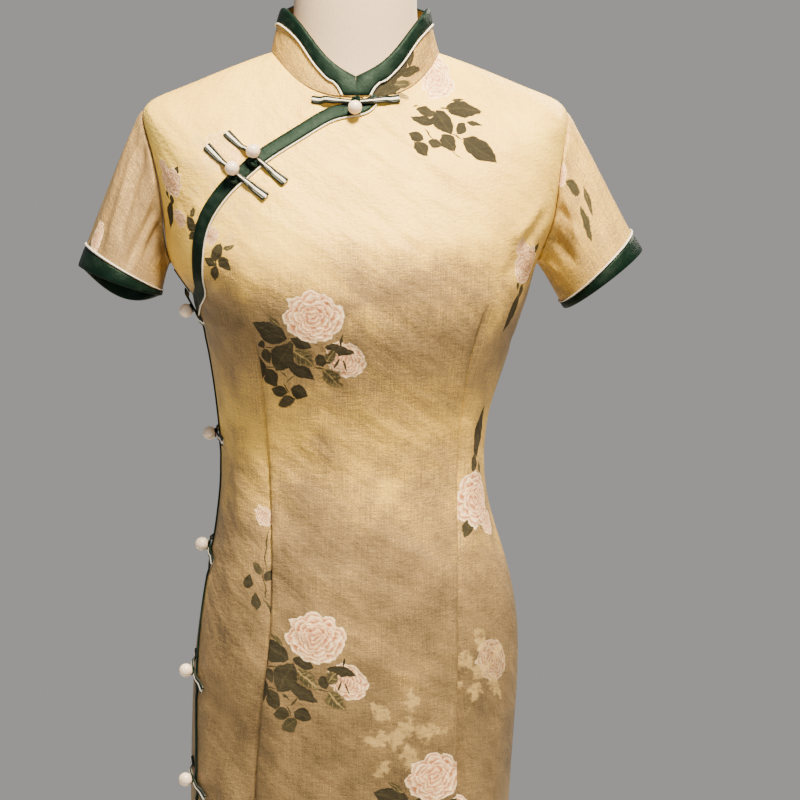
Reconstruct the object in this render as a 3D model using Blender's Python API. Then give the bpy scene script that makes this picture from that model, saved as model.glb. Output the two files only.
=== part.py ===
"""A short-sleeved cheongsam with a slanted lapel, on a limbless linen dress form with a pole and a base.

Metres, +Z up. The front faces -Y, the wearer's right side is at -X, and the base stands on Z = 0.
Every panel is a wall worked out from one body surface, skin(g, v):
  g runs round the body: -3 left side, -2 centre back, -1 right side, 0 centre front, 1 left side;
  v runs down it: 0 at the neckline, then along the shoulder, the armhole and the side to the hem.
"""

import math

import bmesh
import bpy
import numpy as np

MM = 0.001

# Driving dimensions.
WALL = 1.2 * MM  # cloth wall
GAP = 0.3 * MM  # between pieces that are sewn or laid together
LAP_LIFT = 1.6 * MM  # how far the lapped front stands off, over the wall of the piece under it
LAP_FLAT = 17 * MM  # that lift is whole this far in from the edge
LAP_FADE = 26 * MM  # and dies away over this width
UNDERLAP = 15.5 * MM  # cloth hidden under the lapped edge
LAPEL_BAND = 11 * MM
SIDE_BAND = 3.2 * MM
COLLAR_BAND = 12 * MM
CUFF_BAND = 15.5 * MM
BAND_THICK = 0.9 * MM
PIPING_R = 0.9 * MM
PIPING_SIDES = 5
UNDERARM_STRIP = (4 * MM, 6 * MM, 16 * MM)  # half width, and how far its ends keep from armhole and lapel
BALL_R = 6.3 * MM
SLIT_TOP = 0.62
HEM = 0.27
SLIT_SPREAD = 7 * MM  # half of what each slit stands open at the hem
ARMHOLE_FRONT = 44 * MM  # how far the armhole cuts in front of the side line
ARMHOLE_BACK = 38 * MM
ARMHOLE_POWER = 0.62  # the lower, the fuller the curve of the cut
EDGE_CROWD = 1.7  # how much closer a panel's columns lie at its edges, where the body turns
NECK_CUTS = 10  # rows of a panel from the neckline to the shoulder tip
ARM_CUTS = 10  # and along the armhole; a sleeve has as many columns down its front and up its back
NECK_HALF = (56 * MM, 48 * MM)  # the form's neck, across and deep
NECK_Y = 10 * MM
NECK_TOP = 1.475
FORM_BOTTOM = 0.755
FORM_COLUMNS = 40
BASE_R = 150 * MM
BASE_H = 14 * MM
BASE_EDGE = 3 * MM
POLE_R = 14 * MM

# The body surface in millimetres. run: distance down the side line from the neck point.
# right_x, left_x: half widths; side_*, front_*, back_*: the side line, centre front and centre back.
# bow: power that bends a row from side to centre; front_p, back_p: superellipse powers of a section.
BODY_COLUMNS = (
    "run right_x left_x side_y side_z front_y front_z back_y back_z bow front_p back_p"
).split()
BODY = (
    (0, 76, 76, 12, 1368, -53, 1325.5, 70, 1382, 3.0, 2.0, 2.0),
    (32, 104, 104, 12, 1358, -60, 1310, 79, 1360, 2.7, 2.1, 2.1),
    (64, 134, 134, 11, 1346, -69, 1292, 88, 1338, 2.4, 2.2, 2.3),
    (98, 166, 166, 11, 1333, -80, 1272, 95, 1315, 2.2, 2.3, 2.4),
    (128, 192, 192, 10, 1317, -91, 1252, 100, 1292, 2.1, 2.35, 2.5),
    (150, 192.5, 193, 9, 1296, -99, 1236, 103, 1274, 2.0, 2.4, 2.5),
    (190, 187, 189, 8, 1258, -111, 1213, 105, 1246, 2.0, 2.4, 2.5),
    (232, 178, 180, 7, 1216, -121, 1190, 106, 1214, 2.0, 2.45, 2.5),
    (272, 168, 164, 7, 1178, -126, 1166, 105, 1178, 2.0, 2.5, 2.4),
    (304, 150, 156, 8, 1150, -127, 1146, 102, 1150, 2.0, 2.55, 2.4),
    (330, 139.5, 148, 8, 1126, -125, 1125, 99, 1126, 2.0, 2.55, 2.35),
    (373, 130, 135, 8, 1083, -114, 1083, 89, 1083, 2.0, 2.4, 2.3),
    (415, 124.5, 122.5, 8, 1041, -101, 1041, 79, 1041, 2.0, 2.25, 2.2),
    (446, 122, 118.5, 8, 1010, -95, 1010, 76, 1010, 2.0, 2.2, 2.2),
    (495, 123.5, 121.5, 8, 961, -97, 961, 81, 961, 2.0, 2.2, 2.2),
    (540, 130.5, 134.5, 8, 916, -104, 916, 93, 916, 2.0, 2.2, 2.2),
    (592, 141.5, 147.5, 8, 864, -110, 864, 108, 864, 2.0, 2.2, 2.2),
    (650, 149.5, 151, 8, 806, -112, 806, 116, 806, 2.0, 2.2, 2.2),
    (710, 152.5, 148, 8, 746, -109, 746, 114, 746, 2.0, 2.2, 2.2),
    (785, 154, 143.5, 7, 671, -104, 671, 107, 671, 2.0, 2.2, 2.2),
    (960, 151, 142, 5, 496, -99, 496, 101, 496, 2.0, 2.2, 2.2),
    (1186, 146, 138, 4, 270, -96, 270, 97, 270, 2.0, 2.2, 2.2),
)
TIP_V = 0.128
UNDERARM_V = 0.272
HEM_V = 1.186
TOP_V = 0.003  # bands and frogs keep this far below the neckline

# The outer edge of the lapped front, from the neck to the right side: (x, z) seen from the front, in mm.
LAPEL = (
    (3, 1325.5),
    (0, 1322),
    (-8, 1319.5),
    (-24, 1316.2),
    (-50, 1302.5),
    (-78, 1285.5),
    (-93.5, 1275.5),
    (-112, 1260),
    (-120.5, 1252.5),
    (-130.5, 1240.5),
    (-139.5, 1225.5),
    (-145, 1208.5),
    (-147, 1190),
    (-146.5, 1171),
    (-144, 1152),
)
LAPEL_BLEND_V = (0.29, 0.33)  # the lapel's line turns into the side opening's between these
LAPEL_END_V = 0.318  # the piece under the lapel ends here
BAND_END_V = 0.331  # the lapel's wide band ends here, and the narrow one of the side opening starts
# How far the right side opening's edge lies ahead of the side line, against the run, in millimetres.
OPENING_COLUMNS = "run ahead".split()
OPENING = (
    (318, 6),
    (350, 3),
    (450, 3),
    (530, 8),
    (592, 22),
    (650, 32),
    (785, 38),
    (1186, 40),
)

# Fish-eye darts: name, panel, and their line as (x, z) in millimetres.
RIGHT_DART = (
    (-104, 1137),
    (-95, 1108),
    (-88, 1060),
    (-84, 1013),
    (-82, 930),
    (-85, 844),
    (-97, 739),
    (-100, 660),
)
LEFT_DART = (
    (110, 1147),
    (100, 1117),
    (92, 1077),
    (89, 1040),
    (86.5, 934),
    (86, 846),
    (85.5, 700),
    (85, 660),
)
DARTS = (
    ("right", "front", RIGHT_DART),
    ("left", "front", LEFT_DART),
    ("right", "back", ((-82, 1120), (-76, 1010), (-80, 840))),
    ("left", "back", ((82, 1120), (76, 1010), (80, 840))),
)
DART_DEEP = 1.3 * MM
DART_HALF = 4.5 * MM
DART_PER_G = 0.17  # metres for each unit of g near a dart
DART_DRIFT = 0.12  # over this run above a dart the panel's columns move onto it

# Soft folds of the cloth in millimetres: panel, ends x0 z0 x1 z1, half width, height (+ ridge, - trough).
FOLDS = (
    ("front", -76, 850, -84, 560, 11, 2.6),
    ("front", -93, 820, -104, 520, 10, -2.2),
    ("front", -133, 812, -112, 690, 9, -2.4),
    ("front", -104, 1010, -97, 860, 9, 1.8),
    ("front", 100, 1050, 97, 900, 9, 1.6),
    ("front", 74, 760, 66, 480, 14, 2.4),
    ("front", 20, 640, 6, 380, 18, 2.2),
    ("front", -148, 1168, -108, 1120, 9, -1.6),
    ("back", -52, 1040, 58, 1028, 9, 2.0),
    ("back", -64, 985, 40, 976, 9, 1.7),
    ("back", -60, 760, -70, 470, 15, 2.6),
    ("back", 44, 720, 58, 430, 16, 2.6),
)

FOLD_END = 0.3  # each fold dies away over this share of its length

# Sleeves, in millimetres and degrees: the hem ring's centre, its half lengths, and how far its plane turns.
SLEEVE_COLUMNS = "side centre half_across half_deep droop front_dip back_dip".split()
SLEEVES = (
    ("right", (-216, -4, 1162), 39, 51, 20, 1, 19),
    ("left", (230, 4, 1162), 44, 50, 38, -2, 4),
)
SLEEVE_LEAVE = 0.36  # how stiffly the tube leaves the armhole and reaches its hem, in its own lengths
SLEEVE_ARRIVE = 0.5

# Collar: the height of its top edge above the neckline, in millimetres, against the turn from centre front.
COLLAR_RISE = ((0, 17), (22, 30), (45, 43.5), (65, 43), (90, 37), (130, 36), (180, 38))
COLLAR_LEAN = 0.875  # the top ring's size against the base ring's
COLLAR_WALL = 1.6 * MM
COLLAR_LIFT = 1.9 * MM
COLLAR_CENTRE = -3  # the turn, in degrees, at which its ends meet
# The lower edge of its binding near the front end: turn in degrees, millimetres above the base.
COLLAR_CORNER = ((8.5, 1.0), (9.6, 4.0), (12, 8.4), (16, 12.6))
COLLAR_TURNS = (1.5, 8.5, 9.6, 12, 16, 22, 30, 40, 52, 65, 78, 90, 105, 120, 135, 150, 165, 180)
COLLAR_R = 58 * MM  # its mean radius, for distances round it
COLLAR_TILT = 0.16  # how far the normal of the leaning wall points up

# Frogs at the neck and on the chest, seen from the front: x and z in millimetres, and each tail's direction.
# loop_run and knot_run: how far each tail stays above the band and its piping before it comes down.
# ball_sink: how far the ball sits lower than on top of its tails, where it hangs beside them.
CHEST_FROG_COLUMNS = (
    "name x z loop_x loop_z knot_x knot_z length ball_x ball_z ball_sink loop_run knot_run"
).split()
CHEST_FROGS = (
    ("neck", -4, 1320, 1.0, 0.1, -1.0, 0.1, 40, -5.5, 1313, 2.4, 25, 26),
    ("chest_1", -96, 1272.5, 0.66, -0.76, -0.66, 0.76, 37, -96, 1272.5, 0, 18, 9),
    ("chest_2", -113, 1259, 0.73, -0.68, -0.68, 0.74, 38, -113, 1259, 0, 18, 9),
)
# under: how far the knot's tail rests above the body surface.
SIDE_FROG_COLUMNS = "name z fall loop_run knot_run under".split()
SIDE_FROGS = (
    ("side_1", 1140, 0.9, 17, 17, 2.9),
    ("side_2", 1021, 0.3, 9, 9, 2.2),
    ("side_3", 915, 0.75, 9, 9, 1.5),
    ("side_4", 803, 0.85, 9, 9, 1.5),
    ("side_5", 703, 0.8, 9, 9, 1.5),
)
TAIL_FALL = 7 * MM  # a tail comes down to the cloth over this length
SIDE_FROG_LENGTH = 24 * MM
SIDE_FROG_OUT = 1.5 * MM  # its knot lies this far out from the opening's edge
SIDE_FROG_WAY = (0.25, -1.0)  # x and y of its loop's direction
TAIL_NARROW = 4.4 * MM
TAIL_WIDE = 8.6 * MM
TAIL_THICK = 1.3 * MM
TAIL_EASED = 0.4 * MM  # its upper edges are eased by this much
TAIL_APART = 1.2 * MM  # half the distance between a frog's two tails under its ball

# How far the form lies inside the cloth, against the run down the side line, in millimetres.
CLEARANCE_COLUMNS = "run depth".split()
CLEARANCE = ((0, 2.4), (100, 1.9), (170, 2.4), (300, 3.0), (400, 4.5), (700, 4.5))
NECK_SHARES = (1, 0.7, 0.42, 0.22, 0.1, 0.03)  # rings of the form's neck, from its top down
NECK_FLARE = 9  # power by which the neck runs out into the shoulders
NECK_CLEAR = 3 * MM
NECK_BASE_V = 0.012
NECK_CAP = (0.86, 6 * MM)  # the eased top edge: its size and its height
FORM_FOOT = 0.9  # the bottom ring's size against the one above it

COLORS = {  # name: sRGB, roughness
    "gold_satin": ((0.83, 0.72, 0.52), 0.45),
    "green_satin": ((0.12, 0.22, 0.17), 0.35),
    "white_piping": ((0.86, 0.85, 0.80), 0.4),
    "pearl": ((0.93, 0.88, 0.80), 0.3),
    "linen": ((0.80, 0.76, 0.70), 0.9),
    "black_enamel": ((0.05, 0.05, 0.05), 0.4),
}


# ---------------------------------------------------------------- helpers


def column(table, names, wanted):
    return np.array([row[names.index(wanted)] for row in table], float)


def smooth_curve(places, values):
    """A natural cubic spline through the values, running on straight beyond its ends."""
    places, values = np.asarray(places, float), np.asarray(values, float)
    steps = np.diff(places)
    slopes = np.diff(values) / steps
    count = len(places)
    system, right = np.eye(count), np.zeros(count)
    for i in range(1, count - 1):
        system[i, i - 1 : i + 2] = steps[i - 1], 2 * (steps[i - 1] + steps[i]), steps[i]
        right[i] = 6 * (slopes[i] - slopes[i - 1])
    bend = np.linalg.solve(system, right)
    first_slope = slopes[0] - bend[1] * steps[0] / 6
    last_slope = slopes[-1] + bend[-2] * steps[-1] / 6

    def at(asked):
        asked = np.asarray(asked, float)
        where = np.clip(asked, places[0], places[-1])
        before, after = np.minimum(asked - places[0], 0), np.maximum(asked - places[-1], 0)
        beyond = before * first_slope + after * last_slope
        i = np.clip(np.searchsorted(places, where, side="right") - 1, 0, count - 2)
        a, b = places[i + 1] - where, where - places[i]
        h = steps[i]
        return (
            beyond
            + (bend[i] * a**3 + bend[i + 1] * b**3) / (6 * h)
            + (values[i] / h - bend[i] * h / 6) * a
            + (values[i + 1] / h - bend[i + 1] * h / 6) * b
        )

    return at


def ease(t):
    t = np.clip(t, 0.0, 1.0)
    return t * t * (3 - 2 * t)


def unit(vectors):
    return vectors / np.linalg.norm(vectors, axis=-1, keepdims=True)


BODY_AT = {
    name: smooth_curve(column(BODY, BODY_COLUMNS, "run") * MM, column(BODY, BODY_COLUMNS, name))
    for name in BODY_COLUMNS[1:]
}


def skin(g, v):
    """The cloth's inner surface with no folds: points for arrays of g and v."""
    g, v = np.broadcast_arrays(np.asarray(g, float), np.asarray(v, float))
    g = (g + 3) % 4 - 3
    at = {name: curve(v) for name, curve in BODY_AT.items()}
    front = g >= -1
    turn = np.where(front, g, -2 - g)  # -1 right side, 0 centre, 1 left side
    power = np.where(front, at["front_p"], at["back_p"])
    angle = (1 - np.abs(turn)) * math.pi / 2
    across, deep = np.abs(np.cos(angle)), np.abs(np.sin(angle))
    reach = (across**power + deep**power) ** (-1 / power)
    across, deep = across * reach, deep * reach
    centre_y = np.where(front, at["front_y"], at["back_y"])
    centre_z = np.where(front, at["front_z"], at["back_z"])
    x = np.where(turn < 0, -at["right_x"], at["left_x"]) * across
    y = at["side_y"] + (centre_y - at["side_y"]) * deep
    z = centre_z + (at["side_z"] - centre_z) * across ** at["bow"]
    return np.stack([x, y, z], -1) * MM


def outward(surface, a, b, facing=-1.0):
    step = 2e-4
    along = surface(a + step, b) - surface(a - step, b)
    down = surface(a, b + step) - surface(a, b - step)
    return facing * unit(np.cross(along, down))


def walk(surface, a, b, way, distance, steps=3):
    """Places (a, b) moved this far along the surface, towards directions in space."""
    a, b = np.asarray(a, float), np.asarray(b, float)
    probe = 1e-4
    for _ in range(steps):
        da = (surface(a + probe, b) - surface(a - probe, b)) / (2 * probe)
        db = (surface(a, b + probe) - surface(a, b - probe)) / (2 * probe)
        aa, ab, bb = (da * da).sum(-1), (da * db).sum(-1), (db * db).sum(-1)
        ra, rb = (da * way).sum(-1), (db * way).sum(-1)
        spread_by = (aa * bb - ab * ab) * steps / distance
        a, b = a + (ra * bb - rb * ab) / spread_by, b + (rb * aa - ra * ab) / spread_by
    return a, b


def front_place(x, z):
    """(g, v) of the front's points at these x and z, in metres."""
    x, z = np.broadcast_arrays(np.asarray(x, float), np.asarray(z, float))
    low, high = np.zeros(x.shape), np.full(x.shape, HEM_V)
    for _ in range(36):
        v = (low + high) / 2
        half = np.where(x < 0, BODY_AT["right_x"](v), BODY_AT["left_x"](v)) * MM
        share = np.minimum(np.abs(x) / half, 1.0)
        centre, edge = BODY_AT["front_z"](v), BODY_AT["side_z"](v)
        above = centre + (edge - centre) * share ** BODY_AT["bow"](v) > z / MM
        low, high = np.where(above, v, low), np.where(above, high, v)
    power = BODY_AT["front_p"](v)
    deep = np.maximum(1 - share**power, 0.0) ** (1 / power)
    turn = 1 - np.arctan2(deep, share) / (math.pi / 2)
    return np.copysign(turn, x), v


def quarter_length(v, turn):
    """Metres for each unit of g at the side line."""
    step = 1e-3
    near = skin(turn * (1 - step), v)
    return np.linalg.norm(near - skin(turn, v), axis=-1) / step


# ---------------------------------------------------------------- lines on the surface


def line_of(points):
    """(g against v, first v, last v) of a line drawn on the front through (x, z) in millimetres."""
    points = np.array(points, float) * MM
    run = np.concatenate([[0], np.cumsum(np.linalg.norm(np.diff(points, axis=0), axis=1))])
    dense = np.linspace(0, run[-1], 240)
    x, z = (smooth_curve(run, points[:, k])(dense) for k in (0, 1))
    g, v = front_place(x, z)
    v = np.maximum.accumulate(v + np.arange(len(v)) * 1e-9)
    return (lambda where: np.interp(where, v, g)), v[0], v[-1]


def armhole_cut(v, deepest):
    """How far the armhole cuts in from the side line, in metres."""
    t = np.clip((np.asarray(v, float) - TIP_V) / (UNDERARM_V - TIP_V), 0, 1)
    return deepest * np.sin(math.pi * t) ** ARMHOLE_POWER


def slit_gap(v):
    """Half the distance between front and back at a side: a seam's gap, then an open slit below its top."""
    z = BODY_AT["side_z"](v) * MM
    return GAP / 2 + SLIT_SPREAD * np.clip((SLIT_TOP - z) / (SLIT_TOP - HEM), 0, 1) ** 0.8


def left_edge(v, deepest):
    """|g| of a panel's edge on the left side, or of both edges above the underarm."""
    return 1 - (armhole_cut(v, deepest) + slit_gap(v)) / quarter_length(v, 1.0)


LAPEL_LINE = line_of(LAPEL)[0]
OPENING_LINE = smooth_curve(*(column(OPENING, OPENING_COLUMNS, name) * MM for name in OPENING_COLUMNS))


def opening_edge(v):
    """g of the lapped front's edge: the lapel, then the right side opening."""
    v = np.asarray(v, float)
    side = -1 + OPENING_LINE(v) / quarter_length(v, -1.0)
    lapel = LAPEL_LINE(v)
    start, end = LAPEL_BLEND_V
    blend = ease((v - start) / (end - start))
    return lapel + (side - lapel) * blend


def edge_frame(v):
    """(point, normal, way into the front) along the lapped front's edge."""
    v = np.asarray(v, float)
    probe = 2e-3
    low, high = np.maximum(v - probe, 0.0), v + probe
    tangent = unit(skin(opening_edge(high), high) - skin(opening_edge(low), low))
    normal = outward(skin, opening_edge(v), v)
    return skin(opening_edge(v), v), normal, -np.cross(tangent, normal)


def inner_line(lapel_distance, side_distance):
    """g, against v, of a line inside the lapped front's edge: one distance at the lapel, another below."""
    v = np.linspace(0, BAND_END_V + 0.03, 160)
    g, down = walk(skin, opening_edge(v), v, edge_frame(v)[2], lapel_distance)
    slope = (g[4] - g[0]) / (down[4] - down[0])

    def at(where):
        where = np.asarray(where, float)
        above = g[0] + (where - down[0]) * slope
        lapel = np.where(where < down[0], above, np.interp(where, down, g))
        side = opening_edge(where) + side_distance / quarter_length(where, -1.0)
        return np.where(where <= BAND_END_V, lapel, side)

    return at


PIPING_IN = LAPEL_BAND + 2.5 * GAP + PIPING_R
BAND_LINE = inner_line(LAPEL_BAND, SIDE_BAND)
PIPING_LINE = inner_line(PIPING_IN, SIDE_BAND + GAP + PIPING_R)
UNDERLAP_LINE = inner_line(UNDERLAP, UNDERLAP)


def edge_columns(v):
    """A row's columns from the lapped front's edge inwards, shared by the pieces that meet there."""
    return [float(line(v)) for line in (opening_edge, BAND_LINE, PIPING_LINE, UNDERLAP_LINE)]


def dart_lines(panel):
    found = {}
    for name, on, points in DARTS:
        if on != panel:
            continue
        found[name] = line_of(points)
    return found


DART_LINES = {panel: dart_lines(panel) for panel in ("front", "back")}


# ---------------------------------------------------------------- relief


def fold_height(points, panel):
    """Height of the soft folds at these points, in metres."""
    high = np.zeros(points.shape[:-1])
    x, z = points[..., 0] / MM, points[..., 2] / MM
    for on, x0, z0, x1, z1, half, height in FOLDS:
        if on != panel:
            continue
        length = math.hypot(x1 - x0, z1 - z0)
        along = ((x - x0) * (x1 - x0) + (z - z0) * (z1 - z0)) / length**2
        off = ((x - x0) * (z1 - z0) - (z - z0) * (x1 - x0)) / length
        ends = ease(along / FOLD_END) * ease((1 - along) / FOLD_END)
        high += height * MM * np.exp(-((off / half) ** 2)) * ends
    return high


def dart_height(g, v, panel):
    """The sewn line of each dart sinks a little into the cloth."""
    high = np.zeros(np.shape(g))
    for line, top, bottom in DART_LINES[panel].values():
        turn = g if panel == "front" else -2 - g
        off = (turn - line(v)) * DART_PER_G
        ends = ease((v - top) / 0.03) * ease((bottom - v) / 0.03)
        high -= DART_DEEP * np.exp(-((off / (0.6 * DART_HALF)) ** 2)) * ends
    return high


# ---------------------------------------------------------------- meshes


def new_object(name, verts, faces, material):
    mesh = bpy.data.meshes.new(name)
    mesh.from_pydata([tuple(map(float, p)) for p in verts], [], [tuple(map(int, f)) for f in faces])
    work = bmesh.new()
    work.from_mesh(mesh)
    bmesh.ops.recalc_face_normals(work, faces=work.faces)
    work.to_mesh(mesh)
    work.free()
    mesh.shade_smooth()
    mesh.set_sharp_from_angle(angle=math.radians(40))
    mesh.materials.append(material)
    made = bpy.data.objects.new(name, mesh)
    bpy.context.collection.objects.link(made)
    return made


def wall_object(name, inner, outer, material, closed=False):
    """A wall between two grids of points, rows down and columns along; closed joins last to first."""
    rows, cols = inner.shape[:2]
    verts = np.concatenate([outer.reshape(-1, 3), inner.reshape(-1, 3)])
    shift = rows * cols
    faces = []
    last = cols if closed else cols - 1
    for i in range(rows - 1):
        for j in range(last):
            k = (j + 1) % cols
            a, b, c, d = i * cols + j, i * cols + k, (i + 1) * cols + k, (i + 1) * cols + j
            faces += [(a, b, c), (a, c, d)]  # walls that lie together are split the same way
            faces += [(shift + c, shift + b, shift + a), (shift + d, shift + c, shift + a)]
    for i in (0, rows - 1):
        for j in range(last):
            a, b = i * cols + j, i * cols + (j + 1) % cols
            faces.append((a, b, shift + b, shift + a) if i else (b, a, shift + a, shift + b))
    if not closed:
        for j in (0, cols - 1):
            for i in range(rows - 1):
                a, b = i * cols + j, (i + 1) * cols + j
                faces.append((b, a, shift + a, shift + b) if j else (a, b, shift + b, shift + a))
    return new_object(name, verts, faces, material)


def swept_object(name, sections, material, closed=False):
    """A bar through sections of equal point count, capped at its ends unless closed."""
    count, corners = sections.shape[:2]
    faces = []
    for i in range(count if closed else count - 1):
        k = (i + 1) % count
        for j in range(corners):
            m = (j + 1) % corners
            a, b, c, d = i * corners + j, i * corners + m, k * corners + m, k * corners + j
            faces += [(a, b, c), (a, c, d)] if j <= corners / 2 else [(a, b, d), (b, c, d)]
    if not closed:
        faces.append(tuple(range(corners))[::-1])
        faces.append(tuple((count - 1) * corners + j for j in range(corners)))
    return new_object(name, sections.reshape(-1, 3), faces, material)


def piping_profile(distance, bottom):
    """Corners (distance, height) of the piping cord."""
    turns = [2 * math.pi * k / PIPING_SIDES for k in range(PIPING_SIDES)]
    high = bottom + PIPING_R
    return tuple((distance + PIPING_R * math.cos(t), high + PIPING_R * math.sin(t)) for t in turns)


def along_edge(place, stations, profile):
    """Sections of a band: place(station, distance, height) gives a point."""
    return np.array([[place(s, d, h) for d, h in profile] for s in stations])


# ---------------------------------------------------------------- panels


def armhole_v(share):
    """v at this share of the armhole, from the shoulder tip: slow at both ends."""
    return TIP_V + (UNDERARM_V - TIP_V) * (1 - np.cos(math.pi * share)) / 2


def panel_rows(first, last):
    """Values of v for a panel's rows: close together at the neck and at the ends of the armhole."""
    arm = [armhole_v(k / ARM_CUTS) for k in range(ARM_CUTS + 1)]
    rows = [TIP_V * (k / NECK_CUTS) ** 1.7 for k in range(NECK_CUTS)] + arm
    rows += [UNDERARM_V + (LAPEL_END_V - UNDERARM_V) * k / 3 for k in range(1, 4)] + [BAND_END_V]
    rows += [0.36, 0.4, 0.446, 0.49, 0.54, 0.592, 0.65, 0.72, 0.8, 0.9, 1.04, HEM_V]
    return np.array([v for v in rows if first - 1e-9 <= v <= last + 1e-9])


def spread(knots, counts, crowd=(True, True)):
    """Columns from knot to knot, each stretch cut into its count and crowded towards a free edge."""
    columns = [knots[0]]
    last = len(counts) - 1
    for i, (a, b, n) in enumerate(zip(knots, knots[1:], counts)):
        for k in range(1, n + 1):
            share = k / n
            if i == 0 and crowd[0]:
                share **= EDGE_CROWD
            elif i == last and crowd[1]:
                share = 1 - (1 - share) ** EDGE_CROWD
            columns.append(a + (b - a) * share)
    return columns


def edge_distance(points):
    """Distance of each point from the lapped front's edge."""
    v = np.linspace(0, HEM_V, 400)
    edge = skin(opening_edge(v), v)
    flat = points.reshape(-1, 3)
    near = np.min(np.linalg.norm(flat[:, None] - edge[None], axis=-1), axis=1)
    return near.reshape(points.shape[:-1])


def lap_lift(points):
    return LAP_LIFT * (1 - ease((edge_distance(points) - LAP_FLAT) / LAP_FADE))


def dart_columns(panel, v, low, high, shares):
    """A row's columns on the darts, three on each line; above a dart they drift to even shares of the row."""
    knots = []
    order = ("right", "left") if panel == "front" else ("left", "right")
    for name, share in zip(order, shares):
        line, top, _ = DART_LINES[panel][name]
        on = float(line(max(v, top)))
        if panel == "back":
            on = -2 - on
        free = low + (high - low) * share
        middle = free + (on - free) * float(ease((v - top) / DART_DRIFT + 1))
        half = DART_HALF / DART_PER_G
        knots += [middle - half, middle, middle + half]
    return knots


def panel_wall(name, g, v, height, material):
    points, normals = skin(g, v), outward(skin, g, v)
    inner = height(points)
    walls = [points + normals * (inner + h)[..., None] for h in (0, WALL)]
    return wall_object(name, walls[0], walls[1], material)


def front_height(points, g, v):
    """The lapped front's inner face above the body surface."""
    return lap_lift(points) + fold_height(points, "front") + dart_height(g, v, "front")


def front_main(material):
    rows = panel_rows(0, HEM_V)
    grid = []
    for v in rows:
        edges, high = edge_columns(v), float(left_edge(v, ARMHOLE_FRONT))
        knots = edges + dart_columns("front", v, edges[0], high, (0.25, 0.74)) + [high]
        grid.append(spread(knots, (1, 1, 1, 2, 1, 1, 6, 1, 1, 5), (False, True)))
    g, v = np.array(grid), rows[:, None]
    panel_wall("front_main", g, v, lambda points: front_height(points, g, v), material)


def front_under(material):
    rows = panel_rows(0, LAPEL_END_V)
    grid = []
    for v in rows:
        low = -float(left_edge(v, ARMHOLE_FRONT))
        edges = edge_columns(v)
        edges[0] = max(edges[0], low + 0.01)
        grid.append(spread([low] + edges, (7, 1, 1, 1), (True, False)))
    g, v = np.array(grid), rows[:, None]
    panel_wall("front_under", g, v, lambda points: fold_height(points, "front"), material)


def back_panel(material):
    rows = panel_rows(0, HEM_V)
    grid = []
    for v in rows:
        edge = float(left_edge(v, ARMHOLE_BACK))
        low, high = -2 - edge, -2 + edge
        darts = dart_columns("back", v, low, min(high, -1.0), (0.25, 0.75))
        if v > LAPEL_END_V + 1e-6:  # below the lapel the back runs on under the front
            ends = edge_columns(v)
        else:
            ends = [high - k * UNDERLAP / 3 / DART_PER_G for k in (3, 2, 1, 0)]
        grid.append(spread([low] + darts + ends, (5, 1, 1, 5, 1, 1, 4, 1, 1, 1), (True, False)))
    g, v = np.array(grid), rows[:, None]

    def height(points):
        behind = fold_height(points, "back") + dart_height(g, v, "back")
        return np.where(g < -1, behind, fold_height(points, "front"))

    panel_wall("back", g, v, height, material)


# ---------------------------------------------------------------- sleeves


def armhole(side, t):
    """(point, normal) on the armhole's edge: t 0 to 1 down the front, 1 to 2 up the back."""
    sign = -1 if side == "right" else 1
    t = np.asarray(t, float)
    down = np.where(t <= 1, t, 2 - t)
    v = armhole_v(down)
    turn = sign * np.where(t <= 1, left_edge(v, ARMHOLE_FRONT), left_edge(v, ARMHOLE_BACK))
    g = np.where(t <= 1, turn, -2 - turn)
    return skin(g, v), outward(skin, g, v)


def sleeve_surface(side):
    """The sleeve's middle surface, over t round it and w from the armhole, 0, to the hem, 1."""
    row = dict(zip(SLEEVE_COLUMNS, next(r for r in SLEEVES if r[0] == side)))
    sign = -1 if side == "right" else 1
    droop = math.radians(row["droop"])
    across = np.array([sign * math.cos(droop), 0, math.sin(droop)])  # from the hem's inner to its outer side
    axis = np.array([sign * math.sin(droop), -0.1, -math.cos(droop)])
    axis /= np.linalg.norm(axis)
    centre = np.array(row["centre"]) * MM

    def at(t, w):
        t, w = np.broadcast_arrays(np.asarray(t, float), np.asarray(w, float))
        t = t % 2
        start, normal = armhole(side, t)
        start = start + normal * (WALL / 2)
        turn = math.pi * t
        ahead = np.sin(turn)  # 1 at the front of the ring, -1 at its back
        dip = np.where(ahead > 0, row["front_dip"], row["back_dip"]) * ahead**2 * MM
        ring = centre + np.cos(turn)[..., None] * across * row["half_across"] * MM
        ring = ring + np.stack([0 * dip, -ahead * row["half_deep"] * MM, -dip], -1)
        out = np.array([sign * 1.0, 0, 0]) + (1 + np.cos(turn))[..., None] * np.array([0, 0, -0.72])
        out = unit(out + 0.2 * normal)
        start = start + out * 0.0012 + np.array([0, 0, 0.0011]) * ((1 - np.cos(turn)) / 2)[..., None]
        long = np.linalg.norm(ring - start, axis=-1, keepdims=True)
        w = w[..., None]
        h00, h10 = 2 * w**3 - 3 * w**2 + 1, w**3 - 2 * w**2 + w
        h01, h11 = -2 * w**3 + 3 * w**2, w**3 - w**2
        ends = h00 * start + h01 * ring
        return ends + h10 * out * long * SLEEVE_LEAVE + h11 * axis * long * SLEEVE_ARRIVE

    facing = -1.0 if side == "right" else 1.0
    return at, facing


def sleeve_length(at):
    w = np.linspace(0, 1, 60)
    path = at(0.5, w)
    return np.linalg.norm(np.diff(path, axis=0), axis=1).sum()


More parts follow.
